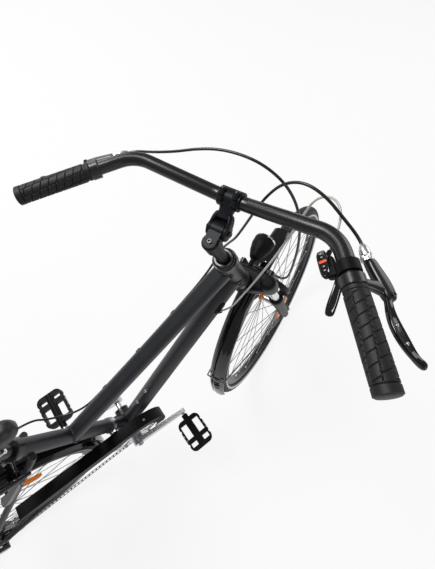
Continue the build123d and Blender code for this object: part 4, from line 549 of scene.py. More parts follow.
def smooth_rows(rows, t):
    """Polynomial through the rows of a table, one row at each even step of t from 0 to 1."""
    steps, powers = np.linspace(0, 1, len(rows))[:, None], np.arange(len(rows))
    return t[:, None] ** powers @ np.linalg.solve(steps ** powers, np.array(rows, float))


def bar_line(side, turned, ring, rows, t):
    """Centres, normal and half sizes of a part that stands out from the bar, turned down round it."""
    end, along, ahead, over = bar_side(side)
    out = ahead * np.cos(turned) - over * np.sin(turned)
    values = smooth_rows(rows, t)
    normal = np.cross(out, along)
    centres = end + along * ring + values[:, :1] * out + values[:, 1:2] * along
    return centres, normal * np.sign(normal[2]), values[:, 2:]


def oval_sweep(centres, normal, half, dish=0.0):
    """Oval section along a line: side = half width cos, height = half thickness sin, dished on its face.

    Both half sizes shrink to nothing at the ends as a circle does, so the ends are round."""
    t = np.linspace(0, 1, len(centres))
    beside = np.cross(normal, unit(np.gradient(centres, axis=0)))
    around = even_angles(OVAL_COLUMNS)
    wave, swell = blunted(np.cos(around), OVAL_SQUARE), blunted(np.sin(around), OVAL_SQUARE)
    ends = np.sqrt(1 - np.abs(2 * t - 1) ** OVAL_ENDS)
    dished = dish * ramp(t, *DISH_START) * (1 - ramp(t, *DISH_END))
    hollow = 1 - dished[:, None] * (1 - ramp(np.abs(wave), *DISH_EDGE))
    width = (half[:, 0] * ends)[:, None] * wave
    height = (half[:, 1] * ends)[:, None] * swell * hollow
    return centres[:, None] + width[..., None] * beside[:, None] + height[..., None] * normal


bar_ways = [bar_side(side)[1] for side in SIDES]
ring_places = [bar_side(side)[0] + way * LEVER_RING for side, way in zip(SIDES, bar_ways)]
lever_rings = copies(*turned_shape(LEVER_RING_SHAPE, 48), ring_places, bar_ways)
castings = joined([oval_sweep(*bar_line(side, LEVER_SET, LEVER_RING, rows, LENGTHS))
                   for side in SIDES for rows in (LEVER_NECK, LEVER_BODY)])
levers = together(castings, lever_rings)
lever_bodies = add_piece("lever_bodies", "steering", levers, satin_black)
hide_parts("brake_levers")
blades = joined([oval_sweep(*bar_line(side, LEVER_SET, LEVER_RING, BLADE, LENGTHS), DISH_DEEP)
                 for side in SIDES])
add_piece("lever_blades", "steering", blades, gloss_paint)

# %% [markdown]
# The stem is forged: two ears hold the pivot, a round neck runs from them to the bar, and it swells into the
# clamp. The ears are coins with a prong each. Prongs and neck are oval sections along the arm, as the lever's
# parts are, and the clamp is a lathe ring round the bar with four lugs for its bolts.

# %% Stem arm
STEM_PIVOT, STEM_BAR = np.array([27.0, 0, 722.0]), np.array([80.0, 0, 742.0])
STEM_ARM, STEM_LIFT = np.array([0.936, 0, 0.353]), np.array([-0.353, 0, 0.936])
LUG_Y, LUG_UP, LUG_FACE = 13.0, 17.5, 12.0
EAR_Y = 16.0
EAR = [(0, -3.4), (13.2, -3.4), (14.6, -2.6), (15, -1.2), (15, 1.2), (14.6, 2.6), (13.2, 3.4), (0, 3.4)]
CLAMP = [(12.7, -21), (15.6, -21), (16.8, -20.2), (17.2, -19), (17.2, 19), (16.8, 20.2), (15.6, 21),
         (12.7, 21), (12.7, -21)]
CLAMP_LUG = [(0, -12), (3.8, -12), (4.7, -11.4), (5, -10.4), (5, -1.2), (0, -1.2)]
# columns: distance along the arm, sideways, half height, half thickness
PRONG = [(-4, 16.0, 12.5, 3.4), (8, 16.0, 13.0, 3.4), (20, 15.0, 11.5, 4.0), (32, 9.5, 10.0, 6.0)]
# columns: distance along the arm, sideways, half width, half height
NECK = [(20, 0, 17.5, 11.0), (29, 0, 13.0, 11.0), (39, 0, 14.0, 12.0), (52, 0, 20.0, 14.5)]
WEB = [(8, 0, 12.0, 3.5), (18, 0, 12.4, 3.5), (30, 0, 12.4, 3.5)]
WEB_DROP = 7.5


def arm_part(rows, flip, normal):
    """Oval section of a stem part along the arm; flip gives its side of the middle."""
    values = smooth_rows(rows, LENGTHS)
    centres = STEM_PIVOT + values[:, :1] * STEM_ARM + values[:, 1:2] * np.array([0, flip, 0])
    return oval_sweep(centres, normal, values[:, 2:])


forgings = joined([arm_part(PRONG, 1, ACROSS), arm_part(PRONG, -1, ACROSS), arm_part(NECK, 0, STEM_LIFT),
                   arm_part(WEB, 0, STEM_LIFT) - STEM_LIFT * WEB_DROP])
ears = copies(*turned_shape(EAR, 48), [STEM_PIVOT + ACROSS * EAR_Y * side for side in SIDES], [ACROSS] * 2)
clamp = copies(*turned_shape(CLAMP, 64), [STEM_BAR], [ACROSS])
lug_places = [STEM_BAR + ACROSS * LUG_Y * side + STEM_LIFT * LUG_UP * end for side in SIDES for end in SIDES]
lugs = copies(*turned_shape(CLAMP_LUG, 24), lug_places, [STEM_ARM] * len(lug_places))
stem = together(forgings, ears, clamp, lugs)
stem_forging = add_piece("stem_forging", "steering", stem, forged_black)
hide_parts("stem_arm")

# %% [markdown]
# A city tyre has a smooth middle with a zigzag groove, and side blocks cut by slanting sipes. The tyre is a
# torus whose section radius is lowered where a groove runs. A reflecting stripe runs round each side wall. It
# is a value stored on the points, by the angle round the section, and the rubber's finish reads it.

# %% Tyres
RIM_R, TYRE_R, SECTION_R = 317.0, 350.0, 19.47
RIM_HALF, RIM_GAP = 12.0, 0.4
TREAD_DEEP = 1.6
SIPES = 120
# angles round the section in degrees, from the middle of the tread
ZIGZAG, ZIGZAG_EDGE = 7, (2.5, 5.5)
SIPE_START, SIPE_END, SIPE_TWIST, SIPE_EDGE = (17, 21), (52, 60), 70, (0.07, 0.14)
SHOULDER, SHOULDER_EDGE = 62, (1.5, 4)
STRIPE_FROM, STRIPE_TO = 96, 112
# moulded rubber is dull and gritty, and the stripe of glass beads is pale and smoother
tyre_rubber, tree = new_finish("moulded_tyre_rubber_with_reflex_stripe")
stripe = add_node(tree, "ShaderNodeAttribute", attribute_name="stripe")
place = add_node(tree, "ShaderNodeTexCoord")
grit = add_node(tree, "ShaderNodeTexNoise", {
    "Vector": (place, "Object"), "Scale": 1 / (1.2 * MM), "Detail": 3.0})
dust = add_node(tree, "ShaderNodeMix", {
    0: (grit, "Fac"), 6: linear("#0f0f10"), 7: linear("#1d1d1e")}, data_type="RGBA")
hue = add_node(tree, "ShaderNodeMix", {
    0: (stripe, "Fac"), 6: (dust, 2), 7: linear("#b4b7ba")}, data_type="RGBA")
gloss = add_node(tree, "ShaderNodeMapRange", {"Value": (stripe, "Fac"), "To Min": 0.62, "To Max": 0.3})
bump = add_node(tree, "ShaderNodeBump", {"Height": (grit, "Fac"), "Distance": 0.06 * MM, "Strength": 1.0})
rubber = add_node(tree, "ShaderNodeBsdfPrincipled", {
    "Base Color": (hue, 2), "Roughness": (gloss, 0), "Normal": (bump, 0), "Specular IOR Level": 0.35})
add_node(tree, "ShaderNodeOutputMaterial", {"Surface": (rubber, 0)})


def on_wheel(radius, angle, side=0.0):
    """Points in a wheel's axes: ahead = radius cos, left = side, up = radius sin."""
    return np.stack([radius * np.cos(angle), side + 0 * angle, radius * np.sin(angle)], -1)


def tyre_points(round_steps=960, section_steps=52):
    """Torus of the tyre in wheel axes, and its stripe.

    With p round the wheel and q round the section, the section radius is the tyre's less the groove depth.
    Grooves: a zigzag ring at q = 7 degrees times a triangle wave of p, and slanting sipes at both sides."""
    turn = even_angles(round_steps)[:, None]
    bend = np.radians(np.linspace(-180, 180, section_steps, endpoint=False))[None, :]
    degrees = np.degrees(bend)
    out = np.abs(degrees)
    zigzag = ZIGZAG * (2 * np.abs((turn * SIPES / 2 / np.pi / 2) % 1 - 0.5) * 2 - 1)
    middle = 1 - ramp(np.abs(degrees - zigzag), *ZIGZAG_EDGE)
    slant = (turn * SIPES / 2 / np.pi + out / SIPE_TWIST + 0.5 * (degrees > 0)) % 1
    sipe = 1 - ramp(np.abs(slant - 0.5), *SIPE_EDGE)
    sipe = sipe * ramp(out, *SIPE_START) * (1 - ramp(out, *SIPE_END))
    shoulder = 1 - ramp(np.abs(out - SHOULDER), *SHOULDER_EDGE)
    section = SECTION_R - TREAD_DEEP * np.clip(middle + sipe + 0.5 * shoulder, 0, 1)
    radius = TYRE_R - SECTION_R + section * np.cos(bend)
    side = section * np.sin(bend)
    side = np.where(radius < RIM_R + RIM_GAP, np.clip(side, -RIM_HALF, RIM_HALF), side)
    points = on_wheel(np.maximum(radius, RIM_R + RIM_GAP), turn, side)
    return points, ((out > STRIPE_FROM) & (out < STRIPE_TO)) * np.ones_like(turn)


tyre_grid, stripe_share = tyre_points()
tyre_faces = grid_faces(*tyre_grid.shape[:2], wrap_rows=True)[:, ::-1]
for wheel in ("front", "rear"):
    name = wheel + "_tyre_tread"
    mesh = bpy.data.meshes.new(name)
    mesh.from_pydata(put(wheel + "_wheel", tyre_grid.reshape(-1, 3)).tolist(), [], tyre_faces.tolist())
    mesh.attributes.new("stripe", "FLOAT", "POINT").data.foreach_set("value", stripe_share.ravel())
    tyre = link_piece(name, mesh, tyre_rubber)
    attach(tyre, wheel + "_wheel")
    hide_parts(wheel + "_tyre")

# %% [markdown]
# Where a spoke meets the rim sits a nipple, and between the spokes sit two amber reflectors. A wheel has
# thirty-six nipples, so they are copies of one lathe shape, placed by the same angles as the spokes:
# eighteen a side, each spoke leaning three holes from its place on the hub.

# %% Nipples, valves and spoke reflectors
SPOKES_A_SIDE, SPOKE_LEAN = 18, 3
SPOKE_PITCH = np.radians(20.0)
RIM_INNER, NIPPLE_Y = 297.0, 3.0
HUB_HOLE_R, HUB_HOLE_Y = 20.0, 28.0
NIPPLE = [(0, 0), (2.6, 0), (2.6, 3.5), (1.9, 4.5), (1.7, 11), (0, 11)]
VALVE = [(0, 0), (4.2, 0), (4.2, 2.5), (2.9, 3), (2.9, 26), (3.9, 27), (3.9, 38), (2.6, 40), (0, 40)]
VALVE_AFTER = 53                # degrees from the first reflector
REFLECTOR = pillow((46.0, 11.0, 4.5), 0.35)
REFLECTOR_R, REFLECTOR_APART, REFLECTOR_Y = 219.0, 173.0, -9.0
REFLECTOR_TILT = 0.14           # along the spokes, which lean
# columns: wheel, angle of its first reflector in degrees
REFLECTOR_AT = [("front", -85.0), ("rear", 35.0)]


def reflector_at(angle):
    """Reflector at an angle of the wheel: long way round the wheel and a little inwards, face to the left."""
    out = on_wheel(1.0, angle)
    long_way = unit(on_wheel(1.0, angle + np.pi / 2) - out * REFLECTOR_TILT)
    turn = np.stack([long_way, np.cross(long_way, ACROSS), ACROSS])
    return out * REFLECTOR_R + ACROSS * REFLECTOR_Y + REFLECTOR @ turn


index = np.arange(SPOKES_A_SIDE)
lean = np.where(index % 2, SPOKE_LEAN, -SPOKE_LEAN)
seats, holes = [], []
for side in SIDES:
    half = SPOKE_PITCH / 2 * (side < 0)
    seats.append(on_wheel(RIM_INNER, (index - lean) * SPOKE_PITCH + half, NIPPLE_Y * side))
    holes.append(on_wheel(HUB_HOLE_R, index * SPOKE_PITCH + half, HUB_HOLE_Y * side))
seats, holes = np.concatenate(seats), np.concatenate(holes)
nipples = copies(*turned_shape(NIPPLE, 10), seats, holes - seats)
for wheel, first in REFLECTOR_AT:
    body = wheel + "_wheel"
    add_piece(wheel + "_nipples", body, nipples, zinc_plate)
    out = on_wheel(1.0, np.radians(first + VALVE_AFTER))
    valve = copies(*turned_shape(VALVE, 16), [out * RIM_INNER], [-out])
    add_piece(wheel + "_valve", body, valve, black_oxide)
    pair = joined([reflector_at(angle) for angle in np.radians([first, first + REFLECTOR_APART])])
    add_piece(wheel + "_reflectors", body, pair, amber_acrylic)

# %% [markdown]
# Bolts hold the stem, brakes, cranks and guards. A cap bolt is a lathe shape with a hexagon pressed into its
# head: the rings of the head are round, those of the socket six-sided, and both are one grid. Each place gets
# a copy of its own size. Steel is blackened on the bar and zinc plated elsewhere.

# %% Bolts and rivets
BOLT_SIDES = 24
# columns: radius, height, whether the ring is the hexagon
BOLT_RINGS = [(0, -0.6, 0), (1, -0.6, 0), (1, 0.6, 0), (0.9, 0.8, 0), (0.62, 0.84, 0), (1, 0.8, 1),
              (1, 0.25, 1), (0, 0.25, 0)]
DOME = [(0, -0.5), (1, -0.5), (1, 0), (0.93, 0.3), (0.7, 0.55), (0.38, 0.7), (0, 0.75)]
RIVETS_AT, PIVOT_AT = np.array([0.40, 0.62]), np.array([0.9])     # shares of the blade's and the body's line
DOWN_WAY, DOWN_UP = np.array([0.597, 0, 0.802]), np.array([-0.802, 0, 0.597])
BOSSES_ALONG, BOSS_TOP = (137.0, 201.0), 22.4
GUARD_NOSE, GUARD_NOSE_R, GUARD_Y = np.radians(62), 104, np.array([0, -46, 0])
STAR_R, STAR_Y = 71, -52.9


def cap_bolt():
    """Cap bolt of radius 1 along Z: a hexagon's edge lies at its apothem over the cosine from its flat."""
    around = even_angles(BOLT_SIDES)
    hexagon = 0.5 / np.cos((around + np.pi / 6) % (np.pi / 3) - np.pi / 6)
    size, height, socket = np.array(BOLT_RINGS, float).T[..., None]
    radius = size * np.where(socket, hexagon, 1.0)
    points = np.stack([radius * np.cos(around), radius * np.sin(around), height + 0 * around], -1)
    return points.reshape(-1, 3), grid_faces(len(BOLT_RINGS), BOLT_SIDES)


# each row is a place, a way and a radius
stem_rows = [(place + STEM_ARM * LUG_FACE, STEM_ARM, 3.8) for place in lug_places]
stem_rows += [((27, 19.5 * side, 722), (0, side, 0), 5.5) for side in SIDES]
stem_rows += [((0, 0, 733), (0, 0, 1), 4.5)]
fork_rows = [((65.1, 40 * side, 283), (1, 0, 0), 5.0) for side in SIDES]
fork_rows += [((65.1, 40, 383), (1, 0, 0), 3.6)]
rivet_rows = []
for side in SIDES:
    blade, normal, halves = bar_line(side, LEVER_SET, LEVER_RING, BLADE, RIVETS_AT)
    rivet_rows += [(at + normal * half[1] * 0.55, normal, 2.4) for at, half in zip(blade, halves)]
    pivot, normal, halves = bar_line(side, LEVER_SET, LEVER_RING, LEVER_BODY, PIVOT_AT)
    stem_rows += [(pivot[0] + normal * halves[0, 1] * 0.9, normal, 3.6)]
nose_way = np.array([np.cos(GUARD_NOSE), 0, np.sin(GUARD_NOSE)])
frame_rows = [(DOWN_WAY * along + DOWN_UP * BOSS_TOP, DOWN_UP, 4.4) for along in BOSSES_ALONG]
frame_rows += [(nose_way * GUARD_NOSE_R + GUARD_Y, nose_way, 4.2), ((-190, -12, 445), (0, -1, 0), 4.0)]
star = np.radians(36 + 72 * np.arange(5))
crank_rows = [(on_wheel(STAR_R, angle, STAR_Y), (0, -1, 0), 5.0) for angle in star]
crank_rows += [((0, -79, 0), (0, -1, 0), 8.5), ((0, 79, 0), (0, 1, 0), 8.5)]
# columns: piece, body, rows, shape, finish, slot
BOLT_SETS = [
    ("stem_bolts", "steering", stem_rows, cap_bolt(), black_oxide, "black_metal"),
    ("fork_bolts", "steering", fork_rows, cap_bolt(), zinc_plate, "steel"),
    ("lever_rivets", "steering", rivet_rows, turned_shape(DOME, 16), zinc_plate, "steel"),
    ("frame_bolts", "frame", frame_rows, cap_bolt(), zinc_plate, "steel"),
    ("crank_bolts", "crankset", crank_rows, cap_bolt(), zinc_plate, "steel"),
]
for name, body, rows, shape, finish, slot in BOLT_SETS:
    places, ways, sizes = (np.array(column, float) for column in zip(*rows))
    add_piece(name, body, copies(*shape, places, ways, sizes), finish)

# %% [markdown]
# At each lever the sleeve ends in a bullet of polished alloy with a knurled nut, which sets the cable's
# length. The knurl is relief too: the radius of the lathe shape rises and falls with the angle over the
# nut's rings.

# %% Barrel adjusters
BARREL_R = 8.6
BARREL = [(0, -20), (8.2, -20), (BARREL_R, -18), (BARREL_R, -12), (7.4, -11), (7.9, -9), (7.8, -5), (7.0, 0),
          (5.4, 5), (3.4, 8.5), (0, 8.5)]
KNURLS, KNURL_DEEP, KNURL_FROM, KNURL_TO = 20, 0.35, -18.5, -11.5
barrel, barrel_faces = turned_shape(BARREL, 80)
knurled = (barrel[:, 2] > KNURL_FROM) & (barrel[:, 2] < KNURL_TO)
barrel_angle = np.arctan2(barrel[:, 1], barrel[:, 0])
barrel[:, :2] *= (1 + KNURL_DEEP / BARREL_R * np.cos(KNURLS * barrel_angle) * knurled)[:, None]
barrels = copies(barrel, barrel_faces, [FRONT_CABLE[0], REAR_CABLE_STEERED[0]], bar_ways)
add_piece("barrel_adjusters", "steering", barrels, polished_alloy)

# %% [markdown]
# The shifter is a moulded ring on the bar with a pod behind it, and a leaf for the thumb under the grip.
# On the pod lies the gear display: a slim housing with an orange bar at the chosen gear and plain pale ticks.
# Housing, pod and marks are pillows turned to the axes of the bar, and the leaf is an oval section along a
# bent line.

# %% Shifter and gear display
SHIFTER_RING = 157.0
SHIFTER_RING_SHAPE = [(12.7, -9), (15.7, -9), (16.5, -8), (16.5, 8), (15.7, 9), (12.7, 9), (12.7, -9)]
SPOUT = [(0, -16), (5.2, -16), (5.2, -8), (4.2, -6), (3.6, 3), (0, 3)]
# columns: out from the bar, along it, half width, half thickness
LEAF = [(11, 2, 5.0, 4.0), (20, -19, 6.0, 3.5), (31, -36, 7.0, 3.0), (42, -54, 6.0, 2.6)]
LEAF_TURN, LEAF_DISH = np.radians(155.0), 0.35
# columns: half sizes along the bar, across it and over it, place along the bar, ahead and over
HOUSING = [((20, 7.5, 7.0), (19, -26.5, -13)), ((9, 11.0, 7.5), (3, -17.0, -8)),
           ((15, 8.0, 5.0), (15, -19.5, -13))]
DISPLAY_AT = (18, -27.5, -5)
# columns: piece, half sizes along the bar, across it and over it, steps along the bar, lift, finish, slot
DISPLAY = [
    ("gear_display", (19.0, 6.8, 3.0), (0.0,), 0.0, moulded_gloss, "gloss_black"),
    ("gear_pointer", (2.2, 5.6, 0.8), (1.0,), 2.7, orange_mark, "lens"),
    ("gear_ticks", (0.9, 1.5, 0.5), (-12.5, -6.5, 8.0, 13.5), 2.8, pale_mark, "silver_alloy"),
]
SMALL_GRID = (14, 28)
end, along, ahead, over = bar_side(-1)
shifter_at = end + along * SHIFTER_RING
bar_turn = np.stack([along, ahead, over])
face_up = over * 0.93 - ahead * 0.37
pod_turn = np.stack([along, np.cross(face_up, along), face_up])
housing = joined([pillow(sizes, 0.45) @ pod_turn + shifter_at + np.array(place) @ bar_turn
                  for sizes, place in HOUSING])
shifter_ring = copies(*turned_shape(SHIFTER_RING_SHAPE, 48), [shifter_at], [along])
spout_way = np.diff(SHIFT_CABLE_STEERED[:2], axis=0)
spout = copies(*turned_shape(SPOUT, 24), SHIFT_CABLE_STEERED[:1], spout_way)
shifter_shape = together(housing, shifter_ring, spout)
shifter_body = add_piece("shifter_body", "steering", shifter_shape, moulded_nylon)
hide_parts("shifter")
leaf = joined([oval_sweep(*bar_line(-1, LEAF_TURN, SHIFTER_RING, LEAF, LENGTHS), LEAF_DISH)])
add_piece("shift_leaf", "steering", leaf, moulded_gloss)
pod_top = shifter_at + np.array(DISPLAY_AT) @ bar_turn
for name, half_sizes, steps, lift, finish, slot in DISPLAY:
    shape = pillow(half_sizes, 0.4, *SMALL_GRID)
    marks = joined([pod_top + (shape + np.array([step, 0, lift])) @ pod_turn for step in steps])
    add_piece(name, "steering", marks, finish)

# %% [markdown]
# Welded tubes show a bead where they meet. Each line along the smaller tube's side is followed until it meets
# the larger tube's cylinder, which is one quadratic equation for all lines at once. The bead is a round
# section along that closed curve, and its radius ripples as the welder's puddle did.

# %% Weld beads
BEAD_R, BEAD_STEPS, BEAD_SIDES = 2.6, 360, 12
BEAD_RIPPLES, RIPPLE_DEEP = 44, 0.13


def weld_bead(start, way, half_wide, half_high, square, main_way, main_r):
    """Bead of a tube that leaves start along way, on a cylinder about main_way through start.

    Lines start + side + t way meet the cylinder where the part square to main_way has length main_r."""
    around, section = even_angles(BEAD_STEPS), even_angles(BEAD_SIDES)[:, None]
    side = (blunted(np.cos(around), square)[:, None] * half_wide * ACROSS
            + blunted(np.sin(around), square)[:, None] * half_high * np.cross(way, ACROSS))
    flat_way = way - (way @ main_way) * main_way
    flat_side = side - (side @ main_way)[:, None] * main_way
    a, b = flat_way @ flat_way, flat_side @ flat_way
    c = (flat_side * flat_side).sum(1) - main_r ** 2
    reach = (-b + np.sqrt(np.maximum(b * b - a * c, 0))) / a
    path = start + side + reach[:, None] * way
    tangent = unit(np.roll(path, -1, 0) - np.roll(path, 1, 0))
    outward = unit(side)
    outward = unit(outward - (outward * tangent).sum(1)[:, None] * tangent)
    radius = BEAD_R * (1 + RIPPLE_DEEP * np.cos(BEAD_RIPPLES * around))
    ring = np.cos(section) * outward[:, None] + np.sin(section) * np.cross(tangent, outward)[:, None]
    return path[:, None] + radius[:, None, None] * ring


HEAD_WAY, SEAT_WAY = np.array([-0.3256, 0, 0.9455]), np.array([-0.342, 0, 0.9397])
TOP_FRONT, TOP_REAR = np.array([386.5, 0, 610.4]), np.array([-97.8, 0, 268.7])
TOP_WAY = unit(TOP_REAR - TOP_FRONT)
DOWN_BELOW_TOP = 66     # along the head tube
# columns: start, way, half width, half height, roundness, main tube's way, main tube's radius
TUBE_JOINTS = [
    (TOP_FRONT, TOP_WAY, 20.0, 16.5, 0.72, HEAD_WAY, 22.0),
    (TOP_FRONT - HEAD_WAY * DOWN_BELOW_TOP, -DOWN_WAY, 22.5, 22.5, 1.0, HEAD_WAY, 22.0),
    (TOP_REAR, -TOP_WAY, 20.0, 16.5, 0.72, SEAT_WAY, 19.0),
    (np.zeros(3), SEAT_WAY, 19.0, 19.0, 1.0, ACROSS, 21.0),
    (np.zeros(3), DOWN_WAY, 22.5, 22.5, 1.0, ACROSS, 21.0),
]
beads = joined([weld_bead(*row) for row in TUBE_JOINTS], wrap_rows=True)
add_piece("weld_beads", "frame", beads, powder_coat)

# %% [markdown]
# The rear brake's sleeve runs along the top tube through three small guides. The front brake's wire turns up
# to its sleeve in a bent pipe of bright steel: two straight runs and a round bend, worked out as a parabola
# between them, with a round section carried along. A ferrule ends the sleeve there, and a plate covers the
# port where the gear sleeve goes into the down tube.

# %% Cable guides and brake pipes
GUIDE = [(2.6, -6), (4.0, -6), (4.5, -5), (4.5, 5), (4.0, 6), (2.6, 6), (2.6, -6)]
GUIDES_AT = np.array([0.12, 0.5, 0.9])[:, None]     # shares of the straight run
PIPE_R, PIPE_BEND, PIPE_SIDES = 3.0, 22.0, 16
PIPE_START, PIPE_CORNER = np.array([59.1, -27.0, 384]), np.array([59.1, -64.1, 384])
FERRULE = [(0, -1), (3.4, -1), (3.7, 0), (3.7, 13), (3.0, 14.5), (0, 14.5)]
PORT_ALONG, PORT_OUT, PORT_HALF = 590.0, 22.5, (19.0, 7.0, 3.0)


def swept_tube(path, radius, sides, up):
    """Grid of a round section along a path: two directions square to the tangent, from its cross with up.

    The ends are closed by a ring of no radius, at the first and last point."""
    tangent = unit(np.gradient(path, axis=0))
    across = unit(np.cross(tangent, up))
    around = even_angles(sides)[:, None]
    ring = np.cos(around) * across[:, None] + np.sin(around) * np.cross(across, tangent)[:, None]
    ends = [np.repeat(path[[i], None], sides, 1) for i in (0, -1)]
    return np.concatenate([ends[0], path[:, None] + radius * ring, ends[1]])


run_start, run_end = np.array(REAR_CABLE_HELD[2:4])
guide_places = run_start + GUIDES_AT * (run_end - run_start)
guides = copies(*turned_shape(GUIDE, 24), guide_places, [run_end - run_start] * len(guide_places))
add_piece("cable_guides", "frame", guides, moulded_nylon)

before_end, pipe_end = np.array(FRONT_CABLE[-2:])
bend_in = PIPE_CORNER + unit(PIPE_START - PIPE_CORNER) * PIPE_BEND
bend_out = PIPE_CORNER + unit(pipe_end - PIPE_CORNER) * PIPE_BEND
step = np.linspace(0, 1, 16)[:, None]
arc = (1 - step) ** 2 * bend_in + 2 * step * (1 - step) * PIPE_CORNER + step ** 2 * bend_out
pipe = swept_tube(np.concatenate([[PIPE_START], arc, [pipe_end]]), PIPE_R, PIPE_SIDES, (1.0, 0, 0))
add_piece("front_brake_pipe", "steering", joined([pipe]), drawn_steel)
ferrule = copies(*turned_shape(FERRULE, 24), [pipe_end], [before_end - pipe_end])
add_piece("cable_ferrule", "steering", ferrule, zinc_plate)

port_face = unit(DOWN_UP * 0.22 - ACROSS)
port_turn = np.stack([DOWN_WAY, np.cross(port_face, DOWN_WAY), port_face])
port = joined([DOWN_WAY * PORT_ALONG + port_face * PORT_OUT + pillow(PORT_HALF, 0.55) @ port_turn])
add_piece("port_plate", "frame", port, moulded_nylon)

# %% [markdown]
# The saddle is moulded foam under a vinyl skin: a narrow nose, a wide tail and a shallow channel along the
# middle. It is not sewn cloth but a skin pulled tight over foam, so its form is a formula: the outline gives
# the half width at each length, and a superellipse gives the section, flat below and crowned above.

# %% Saddle
SADDLE_NOSE_X, SADDLE_LONG, SADDLE_TOP, SADDLE_HIGH = -100.2, 258.0, 587.7, 42.0
SADDLE_NOSE_HALF, SADDLE_TAIL_HALF = 20.0, 84.0
SADDLE_ABOVE, SADDLE_BELOW = 0.62, 0.36         # shares of the height over and under the widest line
CHANNEL_DEEP, CHANNEL_HALF, SADDLE_DIP = 5.0, 9.0, 4.0
# printed with 1.6 mm cells as leather has, and worn smoother in patches: a broken, soft gloss
vinyl, tree = new_finish("embossed_vinyl_black")
place = add_node(tree, "ShaderNodeTexCoord")
cells = add_node(tree, "ShaderNodeTexVoronoi", {"Vector": (place, "Object"), "Scale": 1 / (1.6 * MM)})
bump = add_node(tree, "ShaderNodeBump", {
    "Height": (cells, "Distance"), "Distance": 0.12 * MM, "Strength": 1.0})
worn = add_node(tree, "ShaderNodeTexNoise", {
    "Vector": (place, "Object"), "Scale": 1 / (30 * MM), "Detail": 3.0})
gloss = add_node(tree, "ShaderNodeMapRange", {"Value": (worn, "Fac"), "To Min": 0.32, "To Max": 0.5})
hue = add_node(tree, "ShaderNodeMix", {
    0: (worn, "Fac"), 6: linear("#101011"), 7: linear("#1a1a1c")}, data_type="RGBA")
skin = add_node(tree, "ShaderNodeBsdfPrincipled", {
    "Base Color": (hue, 2), "Roughness": (gloss, 0), "Normal": (bump, 0), "Specular IOR Level": 0.4})
add_node(tree, "ShaderNodeOutputMaterial", {"Surface": (skin, 0)})


def saddle_points(rows=110, columns=96):
    """Grid of the saddle: t runs from nose to tail, and an angle round each section.

    Half width = nose arc times flare times tail arc; height = superellipse with a dip along the middle."""
    t = np.linspace(0, 1, rows)[:, None]
    angle = even_angles(columns)[None, :]
    nose = np.sqrt(np.clip(1 - (1 - np.clip(t / 0.10, 0, 1)) ** 2, 0, 1))
    tail = np.sqrt(np.clip(1 - np.clip((t - 0.80) / 0.20, 0, 1) ** 2.6, 0, 1))
    flare = SADDLE_NOSE_HALF + (SADDLE_TAIL_HALF - SADDLE_NOSE_HALF) * ramp(t, 0.12, 0.82)
    over = np.sin(angle) > 0
    swell = np.where(over, np.abs(np.sin(angle)) ** 0.8, -np.abs(np.sin(angle)) ** 0.5)
    across = flare * nose * tail * blunted(np.cos(angle), 0.75)
    channel = CHANNEL_DEEP * np.exp(-(across / CHANNEL_HALF) ** 2) * over
    channel = channel * ramp(t, 0.2, 0.4) * (1 - ramp(t, 0.8, 0.95))
    dip = SADDLE_DIP * np.sin(np.pi * np.clip((t - 0.1) / 0.8, 0, 1)) * over
    rise = nose ** 0.6 * tail ** 0.6 * swell * SADDLE_HIGH * np.where(over, SADDLE_ABOVE, SADDLE_BELOW)
    height = SADDLE_TOP - SADDLE_HIGH * SADDLE_ABOVE + rise - channel - dip * swell
    return np.stack([SADDLE_NOSE_X - SADDLE_LONG * t + 0 * angle, across, height], -1)


saddle_piece = add_piece("saddle_pad", "frame", joined([saddle_points()]), vinyl)
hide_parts("saddle")

# %% [markdown]
# Each pedal carries an amber bar on its front and back edges, so that a driver sees it move. The bars are
# flat pillows set into the edges.

# %% Pedal reflectors
PEDAL_EDGE = np.array([40.0, 0, 0])
pedal_bar = pillow((1.2, 20.0, 4.0), 0.35, *SMALL_GRID)
for side in ("left", "right"):
    bars = joined([pedal_bar + PEDAL_EDGE * edge for edge in (1, -1)])
    add_piece(side + "_pedal_reflectors", side + "_pedal", bars, pedal_amber)

# %% [markdown]
# The bicycle stands on a plain pale floor under large soft lights, as a shop photographs one. Most of the
# floor's white comes from what the camera sees directly, and a part from real light, which keeps the shadow.

# %% Floor and light
FLOOR_HALF = 6.0
FLOOR_GLOW = 0.84
WORLD_LIGHT, WORLD_SEEN = 0.30, 1.0
LIT_POINT = np.array([0.2, 0.0, 0.7])
# columns: name, place in metres, size in metres, watts
SOFT_BOXES = [
    ("key_soft_box", (-0.5, 1.5, 3.2), 1.1, 75.0),
    ("left_soft_box", (0.4, 3.0, 1.9), 1.6, 26.0),
    ("right_soft_box", (0.2, -3.0, 2.1), 1.6, 24.0),
    ("front_soft_box", (3.2, 0.0, 1.8), 1.6, 22.0),
]

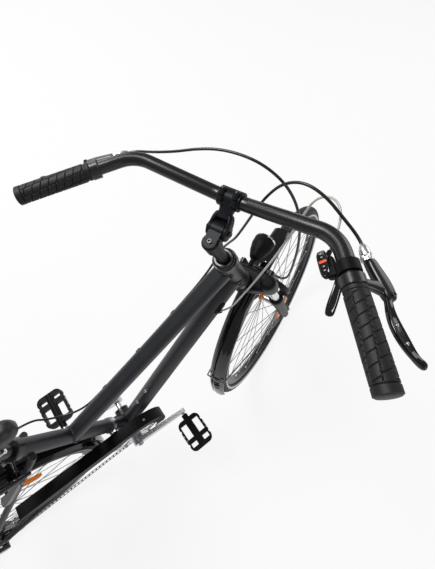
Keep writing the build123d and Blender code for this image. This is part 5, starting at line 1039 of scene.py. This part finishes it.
floor_mesh = bpy.data.meshes.new("floor")
corners = np.array([(-1, -1, 0), (1, -1, 0), (1, 1, 0), (-1, 1, 0)]) * FLOOR_HALF
floor_mesh.from_pydata(corners.tolist(), [], [(0, 1, 2, 3)])
floor = bpy.data.objects.new("floor", floor_mesh)
bpy.context.scene.collection.objects.link(floor)
floor_finish, tree = new_finish("matt_white_paper_floor")
ray = add_node(tree, "ShaderNodeLightPath")
seen = add_node(tree, "ShaderNodeMath", {
    0: (ray, "Is Camera Ray"), 1: (ray, "Is Glossy Ray")}, operation="MAXIMUM")
seen = add_node(tree, "ShaderNodeMath", {0: (seen, 0), 1: (ray, "Is Transmission Ray")}, operation="MAXIMUM")
share = add_node(tree, "ShaderNodeMath", {0: (seen, 0), 1: FLOOR_GLOW}, operation="MULTIPLY")
paper = add_node(tree, "ShaderNodeBsdfDiffuse", {"Color": linear("#e6e6e6")})
glow = add_node(tree, "ShaderNodeEmission", {"Color": (1, 1, 1, 1), "Strength": 1.0})
mixed = add_node(tree, "ShaderNodeMixShader", {0: (share, 0), 1: (paper, 0), 2: (glow, 0)})
add_node(tree, "ShaderNodeOutputMaterial", {"Surface": (mixed, 0)})
floor_mesh.materials.append(floor_finish)

for name, at, size, watts in SOFT_BOXES:
    lamp = bpy.data.lights.new(name, "AREA")
    lamp.shape = "SQUARE"
    lamp.size = size
    lamp.energy = watts
    back = unit(np.array(at) - LIT_POINT)
    right = unit(np.cross((0.0, 1.0, 0.001), back))
    place_object(name, lamp, at, right, np.cross(back, right), back)

world = bpy.data.worlds.new("pale_studio")
world.use_nodes = True
tree = world.node_tree
tree.nodes.clear()
ray = add_node(tree, "ShaderNodeLightPath")
strength = add_node(tree, "ShaderNodeMapRange", {
    "Value": (ray, "Is Camera Ray"), "To Min": WORLD_LIGHT, "To Max": WORLD_SEEN})
sky = add_node(tree, "ShaderNodeBackground", {"Color": (1, 1, 1, 1), "Strength": (strength, 0)})
add_node(tree, "ShaderNodeOutputWorld", {"Surface": (sky, 0)})
bpy.context.scene.world = world
bpy.context.scene.view_settings.view_transform = "Standard"
print("lights", len(SOFT_BOXES))
